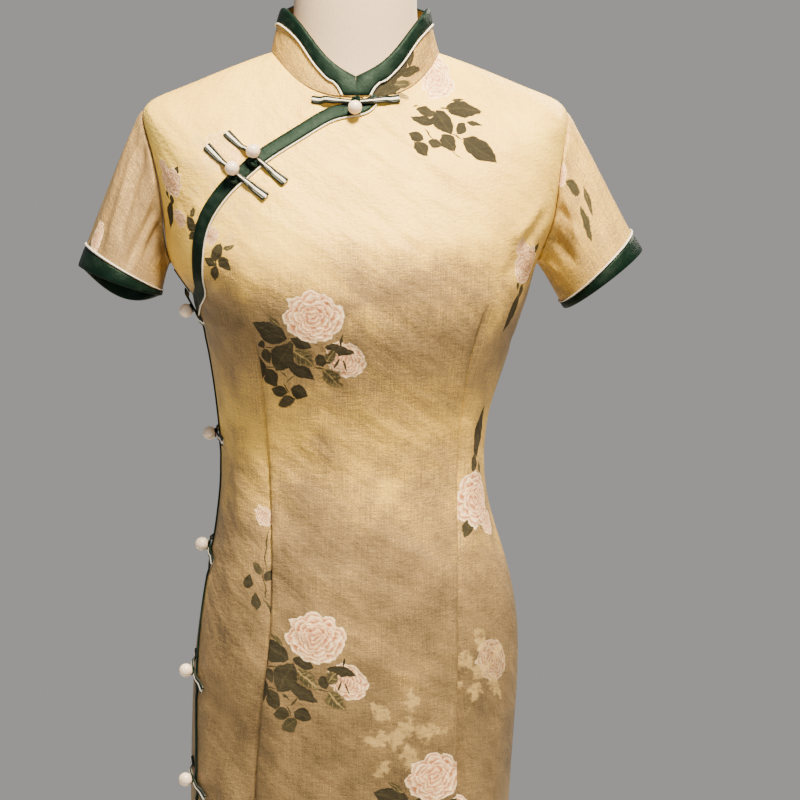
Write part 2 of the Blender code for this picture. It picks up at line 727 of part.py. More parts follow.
def sleeve(side, cloth, band, piping):
    at, facing = sleeve_surface(side)
    length = sleeve_length(at)
    t = np.arange(2 * ARM_CUTS) / ARM_CUTS
    cuff = CUFF_BAND / length
    hem_w = 1 - cuff - 2 * GAP / length

    def shell(name, places, half, material):
        t_grid, w_grid = np.meshgrid(t, places)
        points, normals = at(t_grid, w_grid), outward(at, t_grid, w_grid, facing)
        return wall_object(name, points - normals * half, points + normals * half, material, closed=True)

    shell(f"sleeve_{side}", np.linspace(0, hem_w, 7), WALL / 2, cloth)
    shell(f"binding_cuff_{side}", np.linspace(1 - cuff, 1, 3), WALL / 2 + 0.5 * MM, band)

    def place(s, distance, height):
        w = hem_w - distance / length
        return at(s, w) + outward(at, s, w, facing) * (WALL / 2 + height)

    sections = along_edge(place, t, piping_profile(PIPING_R + 0.2 * MM, GAP))
    swept_object(f"piping_cuff_{side}", sections, piping, closed=True)


# ---------------------------------------------------------------- collar

COLLAR_RISE_AT = smooth_curve([row[0] for row in COLLAR_RISE], [row[1] * MM for row in COLLAR_RISE])


def collar_at(turn, share):
    """The collar's middle surface: turn in degrees from centre front, + to the left; share 0 to 1 up."""
    turn, share = np.broadcast_arrays(np.asarray(turn, float), np.asarray(share, float))
    ahead = np.clip(1 - np.abs(turn) / 90, 0, 1)
    place = turn + COLLAR_CENTRE * ahead
    side = np.abs(place) / 90
    g = np.where(side <= 1, np.sign(place) * side, -2 - np.sign(place) * (2 - side))
    base = skin(g, 0.0)
    middle = np.array([0, NECK_Y, 0])
    lean = 1 + (COLLAR_LEAN - 1) * share
    flat = middle + (base - middle) * lean[..., None]
    rise = COLLAR_LIFT + COLLAR_RISE_AT(np.abs(turn)) * share
    return np.stack([flat[..., 0], flat[..., 1], base[..., 2] + rise], -1)


def collar_rise(turn):
    """How high the collar's top edge stands, in metres."""
    return COLLAR_RISE_AT(np.abs(np.asarray(turn, float)))


def collar_line(turn, distance):
    """Height of the line this far below the collar's rim: it curves down to the base at the front."""
    turn = np.abs(np.asarray(turn, float))
    slope = (collar_rise(turn + 1) - collar_rise(turn - 1)) / (COLLAR_R * math.radians(2))
    free = collar_rise(turn) - distance * np.sqrt(1 + slope**2)
    turns, heights = np.array(COLLAR_CORNER, float).T
    near = np.interp(turn, turns, heights * MM)
    return np.where(turn <= turns[0], heights[0] * MM, near + (free - near) * ease((turn - 12) / 14))


def order_turn(turn):
    """The same turn between -180 and 180."""
    return (turn + 180) % 360 - 180


def collar(cloth, band, piping):
    half = np.array(COLLAR_TURNS)
    order = np.concatenate([-half, half[-2::-1]])  # from right of the opening, round the back, to its left
    low = collar_line(order, COLLAR_BAND) / collar_rise(order)
    shares = np.array([np.ones(len(order)), low, low * 0.55, 0 * order])
    points, normals = collar_at(order, shares), collar_normal(order, shares)
    walls = [points + normals * h for h in (-COLLAR_WALL / 2, COLLAR_WALL / 2)]
    wall_object("collar", walls[0], walls[1], cloth)

    def place(turn, height, out):
        share = height / float(collar_rise(turn))
        return collar_at(turn, share) + collar_normal(turn, share) * (COLLAR_WALL / 2 + out)

    sections = []
    for turn in order:
        rim, foot = float(collar_rise(turn)), float(collar_line(turn, COLLAR_BAND))
        over = rim + GAP + BAND_THICK
        profile = ((over, -COLLAR_WALL), (rim + GAP, -COLLAR_WALL), (rim + GAP, GAP))
        profile += ((foot, GAP), (foot, GAP + BAND_THICK), (over, GAP + BAND_THICK))
        sections.append([place(turn, height, out) for height, out in profile])
    swept_object("binding_collar", np.array(sections), band)

    round_back = [turn - 360 if turn > 0 else turn for turn in order if abs(turn) > COLLAR_CORNER[0][0] - 1]
    round_back = np.array(round_back)
    heights = collar_line(order_turn(round_back), COLLAR_BAND)
    path = np.stack([COLLAR_R * np.radians(round_back), heights], -1)
    way = unit(np.gradient(path, axis=0))
    down = np.stack([-way[:, 1], way[:, 0]], -1)
    centre = path + down * (GAP + PIPING_R)
    sections = []
    for (around, height), (side, drop) in zip(centre, down):
        corners = []
        for shift, out in piping_profile(0, 2 * GAP):
            turn = order_turn(math.degrees((around + side * shift) / COLLAR_R))
            corners.append(place(turn, max(height + drop * shift, 0.2 * MM), out))
        sections.append(corners)
    swept_object("piping_collar", np.array(sections), piping)


def collar_normal(turn, share):
    turn = np.asarray(turn, float)
    flat = collar_at(turn, share) - np.array([0, NECK_Y, 0])
    flat[..., 2] = 0
    return unit(unit(flat) + np.array([0, 0, COLLAR_TILT]))


# ---------------------------------------------------------------- bindings of the lapel and the side opening


def front_edge_sections(rows, line, profile):
    """Sections of a band along the lapped front's edge: profile holds ("edge" or "line", shift, height)."""
    _, _, into = edge_frame(rows)
    sections = []
    for place, shift, height in profile:
        g = opening_edge(rows) if place == "edge" else line(rows)
        points, normals = skin(g, rows), outward(skin, g, rows)
        lift = front_height(points, g, rows) + WALL + height
        sections.append(points + normals * lift[:, None] + into * shift)
    return np.stack(sections, 1)


def edge_bindings(band, piping):
    top = GAP + BAND_THICK
    lip = GAP - LAP_LIFT  # the turned edge stops this far above the piece under it
    profile = (
        ("edge", -GAP - BAND_THICK, lip),
        ("edge", -GAP, lip),
        ("edge", -GAP, GAP),
        ("line", 0, GAP),
        ("line", 0, top),
        ("edge", -GAP - BAND_THICK, top),
    )
    rows = panel_rows(0, BAND_END_V)
    rows = np.concatenate([[TOP_V], rows[rows > TOP_V]])
    swept_object("binding_lapel", front_edge_sections(rows, BAND_LINE, profile), band)
    tube = [("line", shift, height) for shift, height in piping_profile(0, GAP)]
    swept_object("piping_lapel", front_edge_sections(rows, PIPING_LINE, tube), piping)
    below = panel_rows(BAND_END_V, HEM_V)
    below[0] += 1 * MM
    swept_object("binding_side", front_edge_sections(below, BAND_LINE, profile), band)
    half, below_arm, above_lapel = UNDERARM_STRIP
    arm = np.linspace(UNDERARM_V + below_arm, LAPEL_END_V - above_lapel, 5)

    def seam_place(v, distance, height):
        g = -1 + distance / float(quarter_length(v, -1.0))
        return skin(g, v) + outward(skin, g, v) * (WALL + GAP + height)

    corners = ((-half, 0), (half, 0), (half, BAND_THICK), (-half, BAND_THICK))
    swept_object("binding_underarm", along_edge(seam_place, arm, corners), band)


# ---------------------------------------------------------------- frogs


def tail(name, g, v, way, length, reach, heights, material):
    """A doubled strip lying on the cloth, narrow at the knot and wide at its end."""
    places = np.linspace(reach, length, 6)
    sections = []
    for run, height in zip(places, heights(places)):
        share = (run - reach) / (length - reach)
        half = (TAIL_NARROW + (TAIL_WIDE - TAIL_NARROW) * ease(share)) / 2
        g2, v2 = walk(skin, g, v, way, run)
        point, normal = skin(g2, v2), outward(skin, g2, v2)
        side = unit(np.cross(normal, way))
        top = height + TAIL_THICK
        low = top - TAIL_EASED
        corners = ((-1, height), (1, height), (1, low), (0.6, top), (-0.6, top), (-1, low))
        sections.append([point + side * half * s + normal * h for s, h in corners])
    swept_object(name, np.array(sections), material)


def ball(name, centre, material):
    mesh = bpy.data.meshes.new(name)
    work = bmesh.new()
    bmesh.ops.create_uvsphere(work, u_segments=10, v_segments=6, radius=BALL_R)
    work.to_mesh(mesh)
    work.free()
    mesh.shade_smooth()
    mesh.materials.append(material)
    made = bpy.data.objects.new(name, mesh)
    made.location = centre
    bpy.context.collection.objects.link(made)


OVER_PIPING = LAP_LIFT + WALL + GAP + 2 * PIPING_R + GAP
OVER_FRONT = LAP_LIFT + WALL + GAP
OVER_UNDER = WALL + GAP


def frog(name, place, button, sink, ways, runs, under, length, green, pearl):
    """A ball button with a loop tail on the lapped front and a knot tail on the piece under it."""
    g, v = place
    normal = outward(skin, g, v)
    for part, way, run, rest in zip(("loop", "knot"), ways, runs, (OVER_FRONT, under)):
        way = unit(way - normal * np.dot(way, normal))

        def heights(places, run=run * MM, rest=rest):
            return OVER_PIPING + (rest - OVER_PIPING) * ease((places - run) / TAIL_FALL)

        tail(f"frog_{name}_{part}", g, v, way, length, TAIL_APART, heights, green)
    high = OVER_PIPING + TAIL_THICK + GAP + BALL_R - sink
    ball(f"frog_{name}_ball", skin(*button) + outward(skin, *button) * high, pearl)


def frogs(green, pearl):
    for row in CHEST_FROGS:
        at = dict(zip(CHEST_FROG_COLUMNS, row))
        place = [float(a) for a in front_place(at["x"] * MM, at["z"] * MM)]
        button = [float(a) for a in front_place(at["ball_x"] * MM, at["ball_z"] * MM)]
        ways = [np.array([at[f"{part}_x"], 0, at[f"{part}_z"]]) for part in ("loop", "knot")]
        runs = (at["loop_run"], at["knot_run"])
        sink, length = at["ball_sink"] * MM, at["length"] * MM
        frog(at["name"], place, button, sink, ways, runs, OVER_UNDER, length, green, pearl)
    for row in SIDE_FROGS:
        at = dict(zip(SIDE_FROG_COLUMNS, row))
        side_z, run = (column(BODY, BODY_COLUMNS, name) for name in ("side_z", "run"))
        v = float(np.interp(-at["z"], -side_z, run)) * MM
        g = float(opening_edge(v)) - SIDE_FROG_OUT / float(quarter_length(v, -1.0))
        way = np.array([SIDE_FROG_WAY[0], SIDE_FROG_WAY[1], -at["fall"]])
        runs = (at["loop_run"], at["knot_run"])
        under = at["under"] * MM
        frog(at["name"], (g, v), (g, v), 0.0, (way, -way), runs, under, SIDE_FROG_LENGTH, green, pearl)


# ---------------------------------------------------------------- dress form and stand


def form_clearance(v):
    """How far the form lies inside the cloth: it carries the shoulders and is free of the waist and hips."""
    runs, depths = column(CLEARANCE, CLEARANCE_COLUMNS, "run"), column(CLEARANCE, CLEARANCE_COLUMNS, "depth")
    return np.interp(v, runs * MM, depths * MM)


def form(material):
    g = np.linspace(-3, 1, FORM_COLUMNS + 1)[:-1]
    rows = [*panel_rows(0.03, 0.68), 0.70]
    rings = []
    base = skin(g, NECK_BASE_V) - outward(skin, g, NECK_BASE_V) * NECK_CLEAR
    turn = np.where(g >= -1, g, -2 - g)
    angle = (1 - np.abs(turn)) * math.pi / 2
    neck_x = np.sign(turn) * np.cos(angle) * NECK_HALF[0]
    neck_y = NECK_Y + np.where(g >= -1, -1, 1) * np.sin(angle) * NECK_HALF[1]
    for share in NECK_SHARES:
        flare = (1 - share) ** NECK_FLARE
        x, y = neck_x + (base[:, 0] - neck_x) * flare, neck_y + (base[:, 1] - neck_y) * flare
        rings.append(np.stack([x, y, base[:, 2] + (NECK_TOP - base[:, 2]) * share], -1))
    rings.append(base)
    for v in rows:
        rings.append(skin(g, v) - outward(skin, g, v) * float(form_clearance(v)))
    bottom = rings[-1].copy()
    bottom[:, :2] *= FORM_FOOT
    bottom[:, 2] = FORM_BOTTOM
    rings.append(bottom)
    rings = np.array(rings)
    cap = rings[0].copy()
    cap[:, :2] = (cap[:, :2] - [0, NECK_Y]) * NECK_CAP[0] + [0, NECK_Y]
    cap[:, 2] += NECK_CAP[1]
    rings = np.concatenate([cap[None], rings])
    return swept_object("form_torso", rings, material)


def stand(material):
    for name, radius, low, high, segments in (
        ("stand_base", BASE_R, 0.0, BASE_H, 40),
        ("stand_pole", POLE_R, BASE_H + GAP, FORM_BOTTOM - GAP, 20),
    ):
        mesh = bpy.data.meshes.new(name)
        work = bmesh.new()
        size = {"radius1": radius, "radius2": radius, "depth": high - low}
        bmesh.ops.create_cone(work, cap_ends=True, segments=segments, **size)
        work.to_mesh(mesh)
        work.free()
        mesh.materials.append(material)
        mesh.shade_smooth()
        mesh.set_sharp_from_angle(angle=math.radians(40))
        made = bpy.data.objects.new(name, mesh)
        made.location.z = (low + high) / 2
        bpy.context.collection.objects.link(made)
        if name == "stand_base":
            bevel = made.modifiers.new("edge", "BEVEL")
            bevel.width, bevel.segments = BASE_EDGE, 1


# ---------------------------------------------------------------- all


def make_material(name):
    color, roughness = COLORS[name]
    material = bpy.data.materials.new(name)
    material.use_nodes = True
    shader = material.node_tree.nodes["Principled BSDF"]
    shader.inputs["Base Color"].default_value = (*[c**2.2 for c in color], 1)
    shader.inputs["Roughness"].default_value = roughness
    return material


def main():
    for old in list(bpy.data.objects):
        bpy.data.objects.remove(old, do_unlink=True)
    materials = {name: make_material(name) for name in COLORS}
    gold, green, white = (materials[k] for k in ("gold_satin", "green_satin", "white_piping"))
    front_main(gold)
    front_under(gold)
    back_panel(gold)
    for side in ("right", "left"):
        sleeve(side, gold, green, white)
    collar(gold, green, white)
    edge_bindings(green, white)
    frogs(green, materials["pearl"])
    form(materials["linen"])
    stand(materials["black_enamel"])


main()
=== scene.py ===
"""Finished look of a short-sleeved cheongsam with a slanted lapel, on a limbless linen dress form.

Metres, +Z up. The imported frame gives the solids; the cloth is rebuilt finer over the same body surface,
skin(g, v), with creases, seams, bindings, piping, frogs and a print of rose sprays:
  g runs round the body: -3 left side, -2 centre back, -1 right side, 0 centre front, 1 left side;
  v runs down it: 0 at the neckline, then along the shoulder, the armhole and the side to the hem.
"""

import math

import bmesh
import bpy
import mathutils
import numpy as np
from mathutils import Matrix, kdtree


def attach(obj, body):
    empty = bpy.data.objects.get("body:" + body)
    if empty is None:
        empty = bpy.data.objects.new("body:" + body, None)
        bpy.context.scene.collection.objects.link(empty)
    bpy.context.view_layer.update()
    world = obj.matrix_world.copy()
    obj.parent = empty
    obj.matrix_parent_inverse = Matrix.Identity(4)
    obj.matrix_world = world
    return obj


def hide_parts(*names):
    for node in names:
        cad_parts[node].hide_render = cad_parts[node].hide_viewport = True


bl_info = {
    "name": "Cheongsam on a dress form",
    "version": (1, 0, 0),
    "blender": (4, 5, 0),
    "location": "3D View > Sidebar > Cheongsam",
    "description": "Builds the cloth, trimmings, dress form and stage over the packed frame",
    "category": "Object",
}

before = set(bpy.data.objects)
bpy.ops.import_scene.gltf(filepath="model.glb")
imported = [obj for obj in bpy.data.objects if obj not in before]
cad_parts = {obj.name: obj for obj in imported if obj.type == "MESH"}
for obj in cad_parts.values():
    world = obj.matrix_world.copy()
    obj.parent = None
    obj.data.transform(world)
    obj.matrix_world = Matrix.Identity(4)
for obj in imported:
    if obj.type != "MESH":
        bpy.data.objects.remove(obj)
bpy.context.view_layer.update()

MM = 0.001

# ---- driving dimensions

GAP = 0.3 * MM  # between pieces that are laid together
SEAM = 0.12 * MM  # between two panels that are sewn edge to edge
LAP_LIFT = 1.6 * MM  # how far the lapped front stands off, over the wall of the piece under it
LAP_FLAT = 17 * MM  # it stands off in full within this of its edge,
LAP_FADE = 26 * MM  # and comes down to the body over this much more
UNDERLAP = 15.5 * MM  # how far the pieces under it run in from its edge
LAPEL_BAND = 11 * MM  # widths of the bands
SIDE_BAND = 3.2 * MM
COLLAR_BAND = 12 * MM
CUFF_BAND = 15.5 * MM
BAND_THICK = 0.9 * MM
BAND_TO_PIPING = 0.9 * MM  # from a band's edge to the middle of the piping beside it
PIPING_OFF = 0.2 * MM  # between a cuff's or the collar's piping and what lies beside it
SLIT_TOP = 0.62  # heights of the left slit's top and of the hem
HEM = 0.27
HEM_TURN = 30 * MM  # depth of the hem's turned-up cloth
SLIT_SPREAD = 7 * MM  # half the slit's width at the hem
ARMHOLE_FRONT = 44 * MM  # how deep the armhole cuts into each panel
ARMHOLE_BACK = 38 * MM
ARMHOLE_POWER = 0.62  # below 1 its curve is fuller than a sine
NECK_HALF = (56 * MM, 48 * MM)  # the form's neck: half its breadth and depth
NECK_Y = 10 * MM  # its middle
NECK_TOP = 1.475
FORM_BOTTOM = 0.755
BASE_R = 150 * MM
BASE_H = 14 * MM
POLE_R = 14 * MM

# The body surface in millimetres; run is the distance down the side line from the neck point.
BODY_COLUMNS = "run right_x left_x side_y side_z front_y front_z back_y back_z bow front_p back_p".split()
BODY = (
    (0, 76, 76, 12, 1368, -53, 1325.5, 70, 1382, 3, 2, 2),
    (32, 104, 104, 12, 1358, -60, 1310, 79, 1360, 2.7, 2.1, 2.1),
    (64, 134, 134, 11, 1346, -69, 1292, 88, 1338, 2.4, 2.2, 2.3),
    (98, 166, 166, 11, 1333, -80, 1272, 95, 1315, 2.2, 2.3, 2.4),
    (128, 192, 192, 10, 1317, -91, 1252, 100, 1292, 2.1, 2.35, 2.5),
    (150, 192.5, 193, 9, 1296, -99, 1236, 103, 1274, 2, 2.4, 2.5),
    (190, 187, 189, 8, 1258, -111, 1213, 105, 1246, 2, 2.4, 2.5),
    (232, 178, 180, 7, 1216, -121, 1190, 106, 1214, 2, 2.45, 2.5),
    (272, 168, 164, 7, 1178, -126, 1166, 105, 1178, 2, 2.5, 2.4),
    (304, 150, 156, 8, 1150, -127, 1146, 102, 1150, 2, 2.55, 2.4),
    (330, 139.5, 148, 8, 1126, -125, 1125, 99, 1126, 2, 2.55, 2.35),
    (373, 130, 135, 8, 1083, -114, 1083, 89, 1083, 2, 2.4, 2.3),
    (415, 124.5, 122.5, 8, 1041, -101, 1041, 79, 1041, 2, 2.25, 2.2),
    (446, 122, 118.5, 8, 1010, -95, 1010, 76, 1010, 2, 2.2, 2.2),
    (495, 123.5, 121.5, 8, 961, -97, 961, 81, 961, 2, 2.2, 2.2),
    (540, 130.5, 134.5, 8, 916, -104, 916, 93, 916, 2, 2.2, 2.2),
    (592, 141.5, 147.5, 8, 864, -110, 864, 108, 864, 2, 2.2, 2.2),
    (650, 149.5, 151, 8, 806, -112, 806, 116, 806, 2, 2.2, 2.2),
    (710, 152.5, 148, 8, 746, -109, 746, 114, 746, 2, 2.2, 2.2),
    (785, 154, 143.5, 7, 671, -104, 671, 107, 671, 2, 2.2, 2.2),
    (960, 151, 142, 5, 496, -99, 496, 101, 496, 2, 2.2, 2.2),
    (1186, 146, 138, 4, 270, -96, 270, 97, 270, 2, 2.2, 2.2),
)
TIP_V = 0.128  # the shoulder's tip
UNDERARM_V = 0.272
BUST_V = 0.304
HEM_V = 1.186
TOP_V = 0.003  # bands keep this far below the neckline

# The lapped front's outer edge, from the neck to the right side: (x, z) seen from the front, in mm.
LAPEL = (
    (3, 1325.5), (0, 1322), (-8, 1319.5), (-24, 1316.2), (-50, 1302.5), (-78, 1285.5), (-93.5, 1275.5),
    (-112, 1260), (-120.5, 1252.5), (-130.5, 1240.5), (-139.5, 1225.5), (-145, 1208.5), (-147, 1190),
    (-146.5, 1171), (-144, 1152),
)
LAPEL_BLEND_V = (0.29, 0.33)  # where the lapel's line passes into the side opening's
EDGE_PROBE = 2e-3
LAPEL_END_V = 0.318  # where the piece under the lapel ends, and the wide band
BAND_END_V = 0.331
# The right opening's edge, in millimetres: run down the side line, and how far the edge lies ahead of it.
OPENING = (
    (318, 6), (350, 3), (450, 3), (530, 8), (592, 22), (650, 32), (785, 38), (1186, 40),
)

# Fish-eye darts: side, panel, cloth taken in at the middle and the sewn line as (x, z), in millimetres.
RIGHT_DART = (
    (-104, 1137), (-95, 1108), (-88, 1060), (-84, 1013), (-82, 930), (-85, 844), (-97, 739), (-100, 660),
)
LEFT_DART = (
    (110, 1147), (100, 1117), (92, 1077), (89, 1040), (86.5, 934), (86, 846), (85.5, 700), (85, 660),
)
DARTS = (
    ("right", "front", 26, RIGHT_DART),
    ("left", "front", 26, LEFT_DART),
    ("right", "back", 22, ((-82, 1120), (-76, 1010), (-80, 840))),
    ("left", "back", 22, ((82, 1120), (76, 1010), (80, 840))),
)
DART_PER_G = 0.17  # metres for each unit of g near a dart
DART_DRIFT = 0.12  # over this run above a dart the panel's columns move onto it
DART_SHARES = {"front": (0.25, 0.74), "back": (0.25, 0.75)}  # the columns' places across a row above them
DART_OFFS = (-7, -3.4, -1.5, -0.5, 0, 0.5, 1.5, 3.4, 7)  # columns at a dart's line, in millimetres
SEAM_OFFS = (9, 4, 1.8, 0.7)  # and inside a sewn edge
DART_STEPS = (1,) * (len(DART_OFFS) - 1)
# How many faces lie between the knots of each panel's rows.
FRONT_STEPS = (3, 1, 1, 8, *DART_STEPS, 22, *DART_STEPS, 14, 2, 1, 1, 1)
UNDER_STEPS = (1, 1, 1, 2, 18, 3, 1, 1)
BACK_STEPS = (1, 1, 1, 2, 14, *DART_STEPS, 22, *DART_STEPS, 15, 1, 1, 1)

# Each panel's folds and creases, in mm: ends x0 z0 x1 z1, sag of its middle, half width, height (- sinks).
CREASES = {
    "front": (
        (-76, 850, -84, 560, 0, 11, 2.6), (-93, 820, -104, 520, 0, 10, -2.2),
        (-133, 812, -112, 690, 0, 9, -2.4), (-104, 1010, -97, 860, 0, 9, 1.8),
        (100, 1050, 97, 900, 0, 9, 1.6), (74, 760, 66, 480, 0, 14, 2.4), (20, 640, 6, 380, 0, 18, 2.2),
        (-148, 1168, -108, 1120, 0, 9, -1.6),
        # drag lines from the bust to the armhole and the underarm
        (152, 1214, 118, 1160, 3, 5, -1.1), (158, 1190, 126, 1150, -2, 4, 0.7),
        (163, 1232, 140, 1196, 4, 4.5, -0.9), (-134, 1196, -100, 1176, 3, 5, 0.6),
        (120, 1130, 146, 1096, 2, 4, -0.7), (163, 1239, 127, 1199, 3, 4, 1.7),
        (171, 1231, 134, 1189, 3, 3.5, -1.2),
        # pulls across the waist and from the darts
        (-118, 1064, -92, 1040, 3, 4.5, 0.7), (-116, 1046, -88, 1008, 4, 4, -0.8),
        (-120, 1000, -96, 972, -3, 5, 0.7), (-112, 944, -90, 902, 4, 5, -0.8),
        (114, 1058, 94, 1024, -3, 4.5, 0.8), (116, 1022, 92, 996, 3, 4, -0.6),
        (112, 962, 96, 912, -4, 5, 0.7), (-60, 1016, -10, 1008, 4, 7, 0.5), (12, 1002, 66, 1012, -4, 8, 0.45),
        (-40, 992, 34, 986, 3, 9, -0.5),
        # ripples between the right dart and the opening
        (-113, 1062, -105, 880, 2, 4, 1.5), (-104, 1030, -97, 850, -2, 3.5, -1),
        (-121, 970, -116, 760, 3, 4.5, 1.4), (-111, 900, -108, 660, -2, 4, -1),
        (-129, 860, -124, 640, 2, 4, 1.2),
        # long soft falls over the hips and the skirt
        (-48, 930, -58, 700, 6, 12, 0.7), (40, 900, 52, 690, -5, 13, 0.8), (-8, 840, -2, 610, 6, 15, -0.7),
        (118, 840, 108, 640, 4, 8, -1), (128, 800, 120, 590, -4, 7, 0.8), (-120, 730, -116, 540, 3, 8, 1),
        (46, 560, 58, 330, 5, 14, -1.2), (-44, 520, -36, 310, -5, 15, 1.2),
        # the chest
        (34, 1290, 96, 1236, 8, 11, 0.5), (-20, 1292, -72, 1226, -8, 10, 0.4),
        (138, 1300, 150, 1252, 4, 7, -0.7), (60, 1322, 120, 1306, 4, 6, 0.4),
        (-92, 1318, -150, 1286, 4, 7, 0.6), (-150, 1262, -164, 1222, 3, 5, -0.7),
    ),
    "back": (
        (-52, 1040, 58, 1028, 0, 9, 2), (-64, 985, 40, 976, 0, 9, 1.7), (-60, 760, -70, 470, 0, 15, 2.6),
        (44, 720, 58, 430, 0, 16, 2.6),
        # the back: blades, waist and seat
        (-150, 1224, -112, 1150, 6, 7, -1.1), (152, 1226, 116, 1146, -6, 7, -1.2),
        (-136, 1254, -92, 1216, 5, 6, 0.8), (134, 1260, 96, 1210, -4, 7, 0.7),
        (-30, 1330, -96, 1300, -4, 7, 0.7), (26, 1332, 88, 1296, 5, 8, 0.7),
        (-14, 1230, 20, 1120, 7, 13, -0.7), (-108, 1060, -84, 1030, 3, 5, 0.9),
        (106, 1066, 82, 1024, -3, 5, -0.9), (-106, 1002, -80, 976, -3, 5, -0.8),
        (108, 996, 84, 958, 3, 5, 0.9), (-54, 1012, 44, 1004, 4, 6, -1), (-120, 850, -112, 640, 5, 9, -1.1),
        (118, 840, 122, 620, -5, 9, 1), (-18, 820, -26, 560, 6, 15, 1.1), (8, 760, 16, 500, -6, 13, -1),
        (-92, 540, -86, 320, 5, 12, 1.2), (92, 560, 100, 330, -5, 12, -1.2),
    ),
}
# Across a sewn line: shift, half width and height of each ridge or groove, in millimetres.
DART_RELIEF = ((0, 1, -1.5), (2, 6, -1.2), (-3, 3, 1.1))
SEAM_RELIEF = ((0, 1.3, -0.75), (0, 5, -0.25))
HEM_RELIEF = ((0, 1.6, -0.3),)
SLEEVE_RELIEF = ((9, 6, 0.5), (0, 2.2, -1.1))
PUCKER = (5 * MM, 0.28 * MM)  # half width and height of the puckers along a dart
DART_FADE = 0.03  # a dart's line dies away over this run at both ends
FOLD_END = 0.3  # a fold dies away over this share of its length at both ends
PULL_X, PULL_STAGGER = -150, 8  # x where the pulls start and how far it varies, in mm
# How the side opening's knots pull the cloth, in mm: z of the pull, its length, slope, half width, height.
PULLS = (
    (1136, 44, -0.55, 3.6, 0.9), (1124, 34, -0.9, 3.2, -0.7), (1018, 40, -0.25, 3.4, 0.8),
    (1008, 30, -0.6, 3, -0.7), (911, 46, 0.3, 3.8, 0.8), (900, 34, -0.35, 3.2, -0.8),
    (800, 42, -0.5, 3.6, 0.9), (790, 36, -0.95, 3.2, -0.6), (700, 46, 0.2, 3.8, 0.9),
    (690, 32, -0.4, 3.2, -0.7),
)

# Sleeves, in millimetres and degrees: the hem ring's centre, its half lengths across and fore and aft, how
# far its plane turns, and its dips in front and behind.
SLEEVES = {
    "right": ((-216, -4, 1162), 39, 51, 20, 1, 19),
    "left": ((230, 4, 1162), 44, 50, 38, -2, 4),
}
SLEEVE_LEAVE = 0.36  # how long the cloth keeps its way from the armhole and to the hem
SLEEVE_ARRIVE = 0.5
SLEEVE_OUT = 1.0 * MM  # from the armhole's edge outwards, and up under the arm
SLEEVE_UP = 1.0 * MM
SLEEVE_SLOPE = 0.72  # how steeply it falls from the shoulder
SLEEVE_HEAD = (0, 0.006, 0.014, 0.026, 0.042, 0.062, 0.086)  # w of the rows by the armhole
# Sleeve creases: t round it (0 shoulder, 0.5 front, 1 underarm, 1.5 back) and w from the armhole (0) to the
# hem (1) at both ends, as t0 w0 t1 w1, then half width and height in millimetres.
SLEEVE_CREASES = {
    "right": (
        (0.3, 0.02, 0.42, 0.75, 5.5, -2), (0.46, 0, 0.52, 0.6, 5, 1.3), (0.66, 0, 0.62, 0.7, 5, -2.2),
        (0.82, 0.05, 0.74, 0.62, 4, 1), (0.16, 0.1, 0.2, 0.8, 8, 1.2), (0.24, 0.15, 0.36, 0.92, 4.5, 1.6),
        (0.56, 0.1, 0.5, 0.9, 4.5, -1.8), (1.3, 0.02, 1.4, 0.7, 6, -1.7), (1.56, 0, 1.52, 0.8, 6, 1.2),
        (1.76, 0.06, 1.66, 0.6, 5, -1.2),
    ),
    "left": (
        (0.34, 0, 0.4, 0.72, 5.5, -1.7), (0.6, 0, 0.52, 0.5, 4, -1.3), (0.27, 0.2, 0.33, 0.9, 5, 1.4),
        (0.5, 0.02, 0.6, 0.62, 4.5, 1.1), (0.72, 0, 0.66, 0.66, 4.5, -2), (0.88, 0.06, 0.8, 0.6, 4, 1.2),
        (0.2, 0.06, 0.16, 0.8, 9, 0.9), (1.28, 0, 1.36, 0.75, 6, -1.6), (1.5, 0, 1.58, 0.7, 6, 1.3),
        (1.74, 0.04, 1.62, 0.62, 5, -1.1),
    ),
}
# Round the cuff's section: share of its width from the sleeve down, height over the sleeve's face in mm.
CUFF_SECTION = (
    (0, -1.5), (0, 0.1), (0.02, 0.5), (0.12, 0.8), (0.5, 0.9), (0.9, 0.8), (0.985, 0.4), (1, -0.6),
    (0.985, -1.6), (0.9, -2), (0.5, -2.1), (0.1, -2),
)
UNDERARM_STRIP = (4 * MM, 6 * MM, 16 * MM)  # half width, and how far its ends keep from armhole and lapel
# Round the strip's section: place in half widths, height in its thickness.
STRIP_SECTION = ((-1, 0), (1, 0), (1.03, 0.5), (0.9, 1), (0.4, 1.25), (-0.4, 1.25), (-0.9, 1), (-1.03, 0.5))

# Collar: the height of its top edge above the neckline, in millimetres, against the turn from centre front.
COLLAR_RISE = ((0, 17), (22, 30), (45, 43.5), (65, 43), (90, 37), (130, 36), (180, 38))
COLLAR_LEAN = 0.875  # its breadth at the top against the neckline's
COLLAR_WALL = 1.6 * MM
COLLAR_LIFT = 1.9 * MM  # from the neckline up to its foot
COLLAR_CENTRE = -3  # degrees from centre front to its opening
# The band's lower edge by the opening: turn in degrees, height in millimetres.
COLLAR_CORNER = ((8.5, 1), (9.6, 4), (12, 8.4), (16, 12.6))
COLLAR_ENDS = (0.06, 8.5)  # turns, in degrees, where the collar and its piping end
COLLAR_R = 58 * MM  # of the unrolled collar
COLLAR_TILT = 0.16  # how far its outer face looks up
COLLAR_DENTS = ((3, 0.6, 0.32), (5, 2.1, 0.192), (11, 0.4, 0.112))  # waves round it: count, start, mm
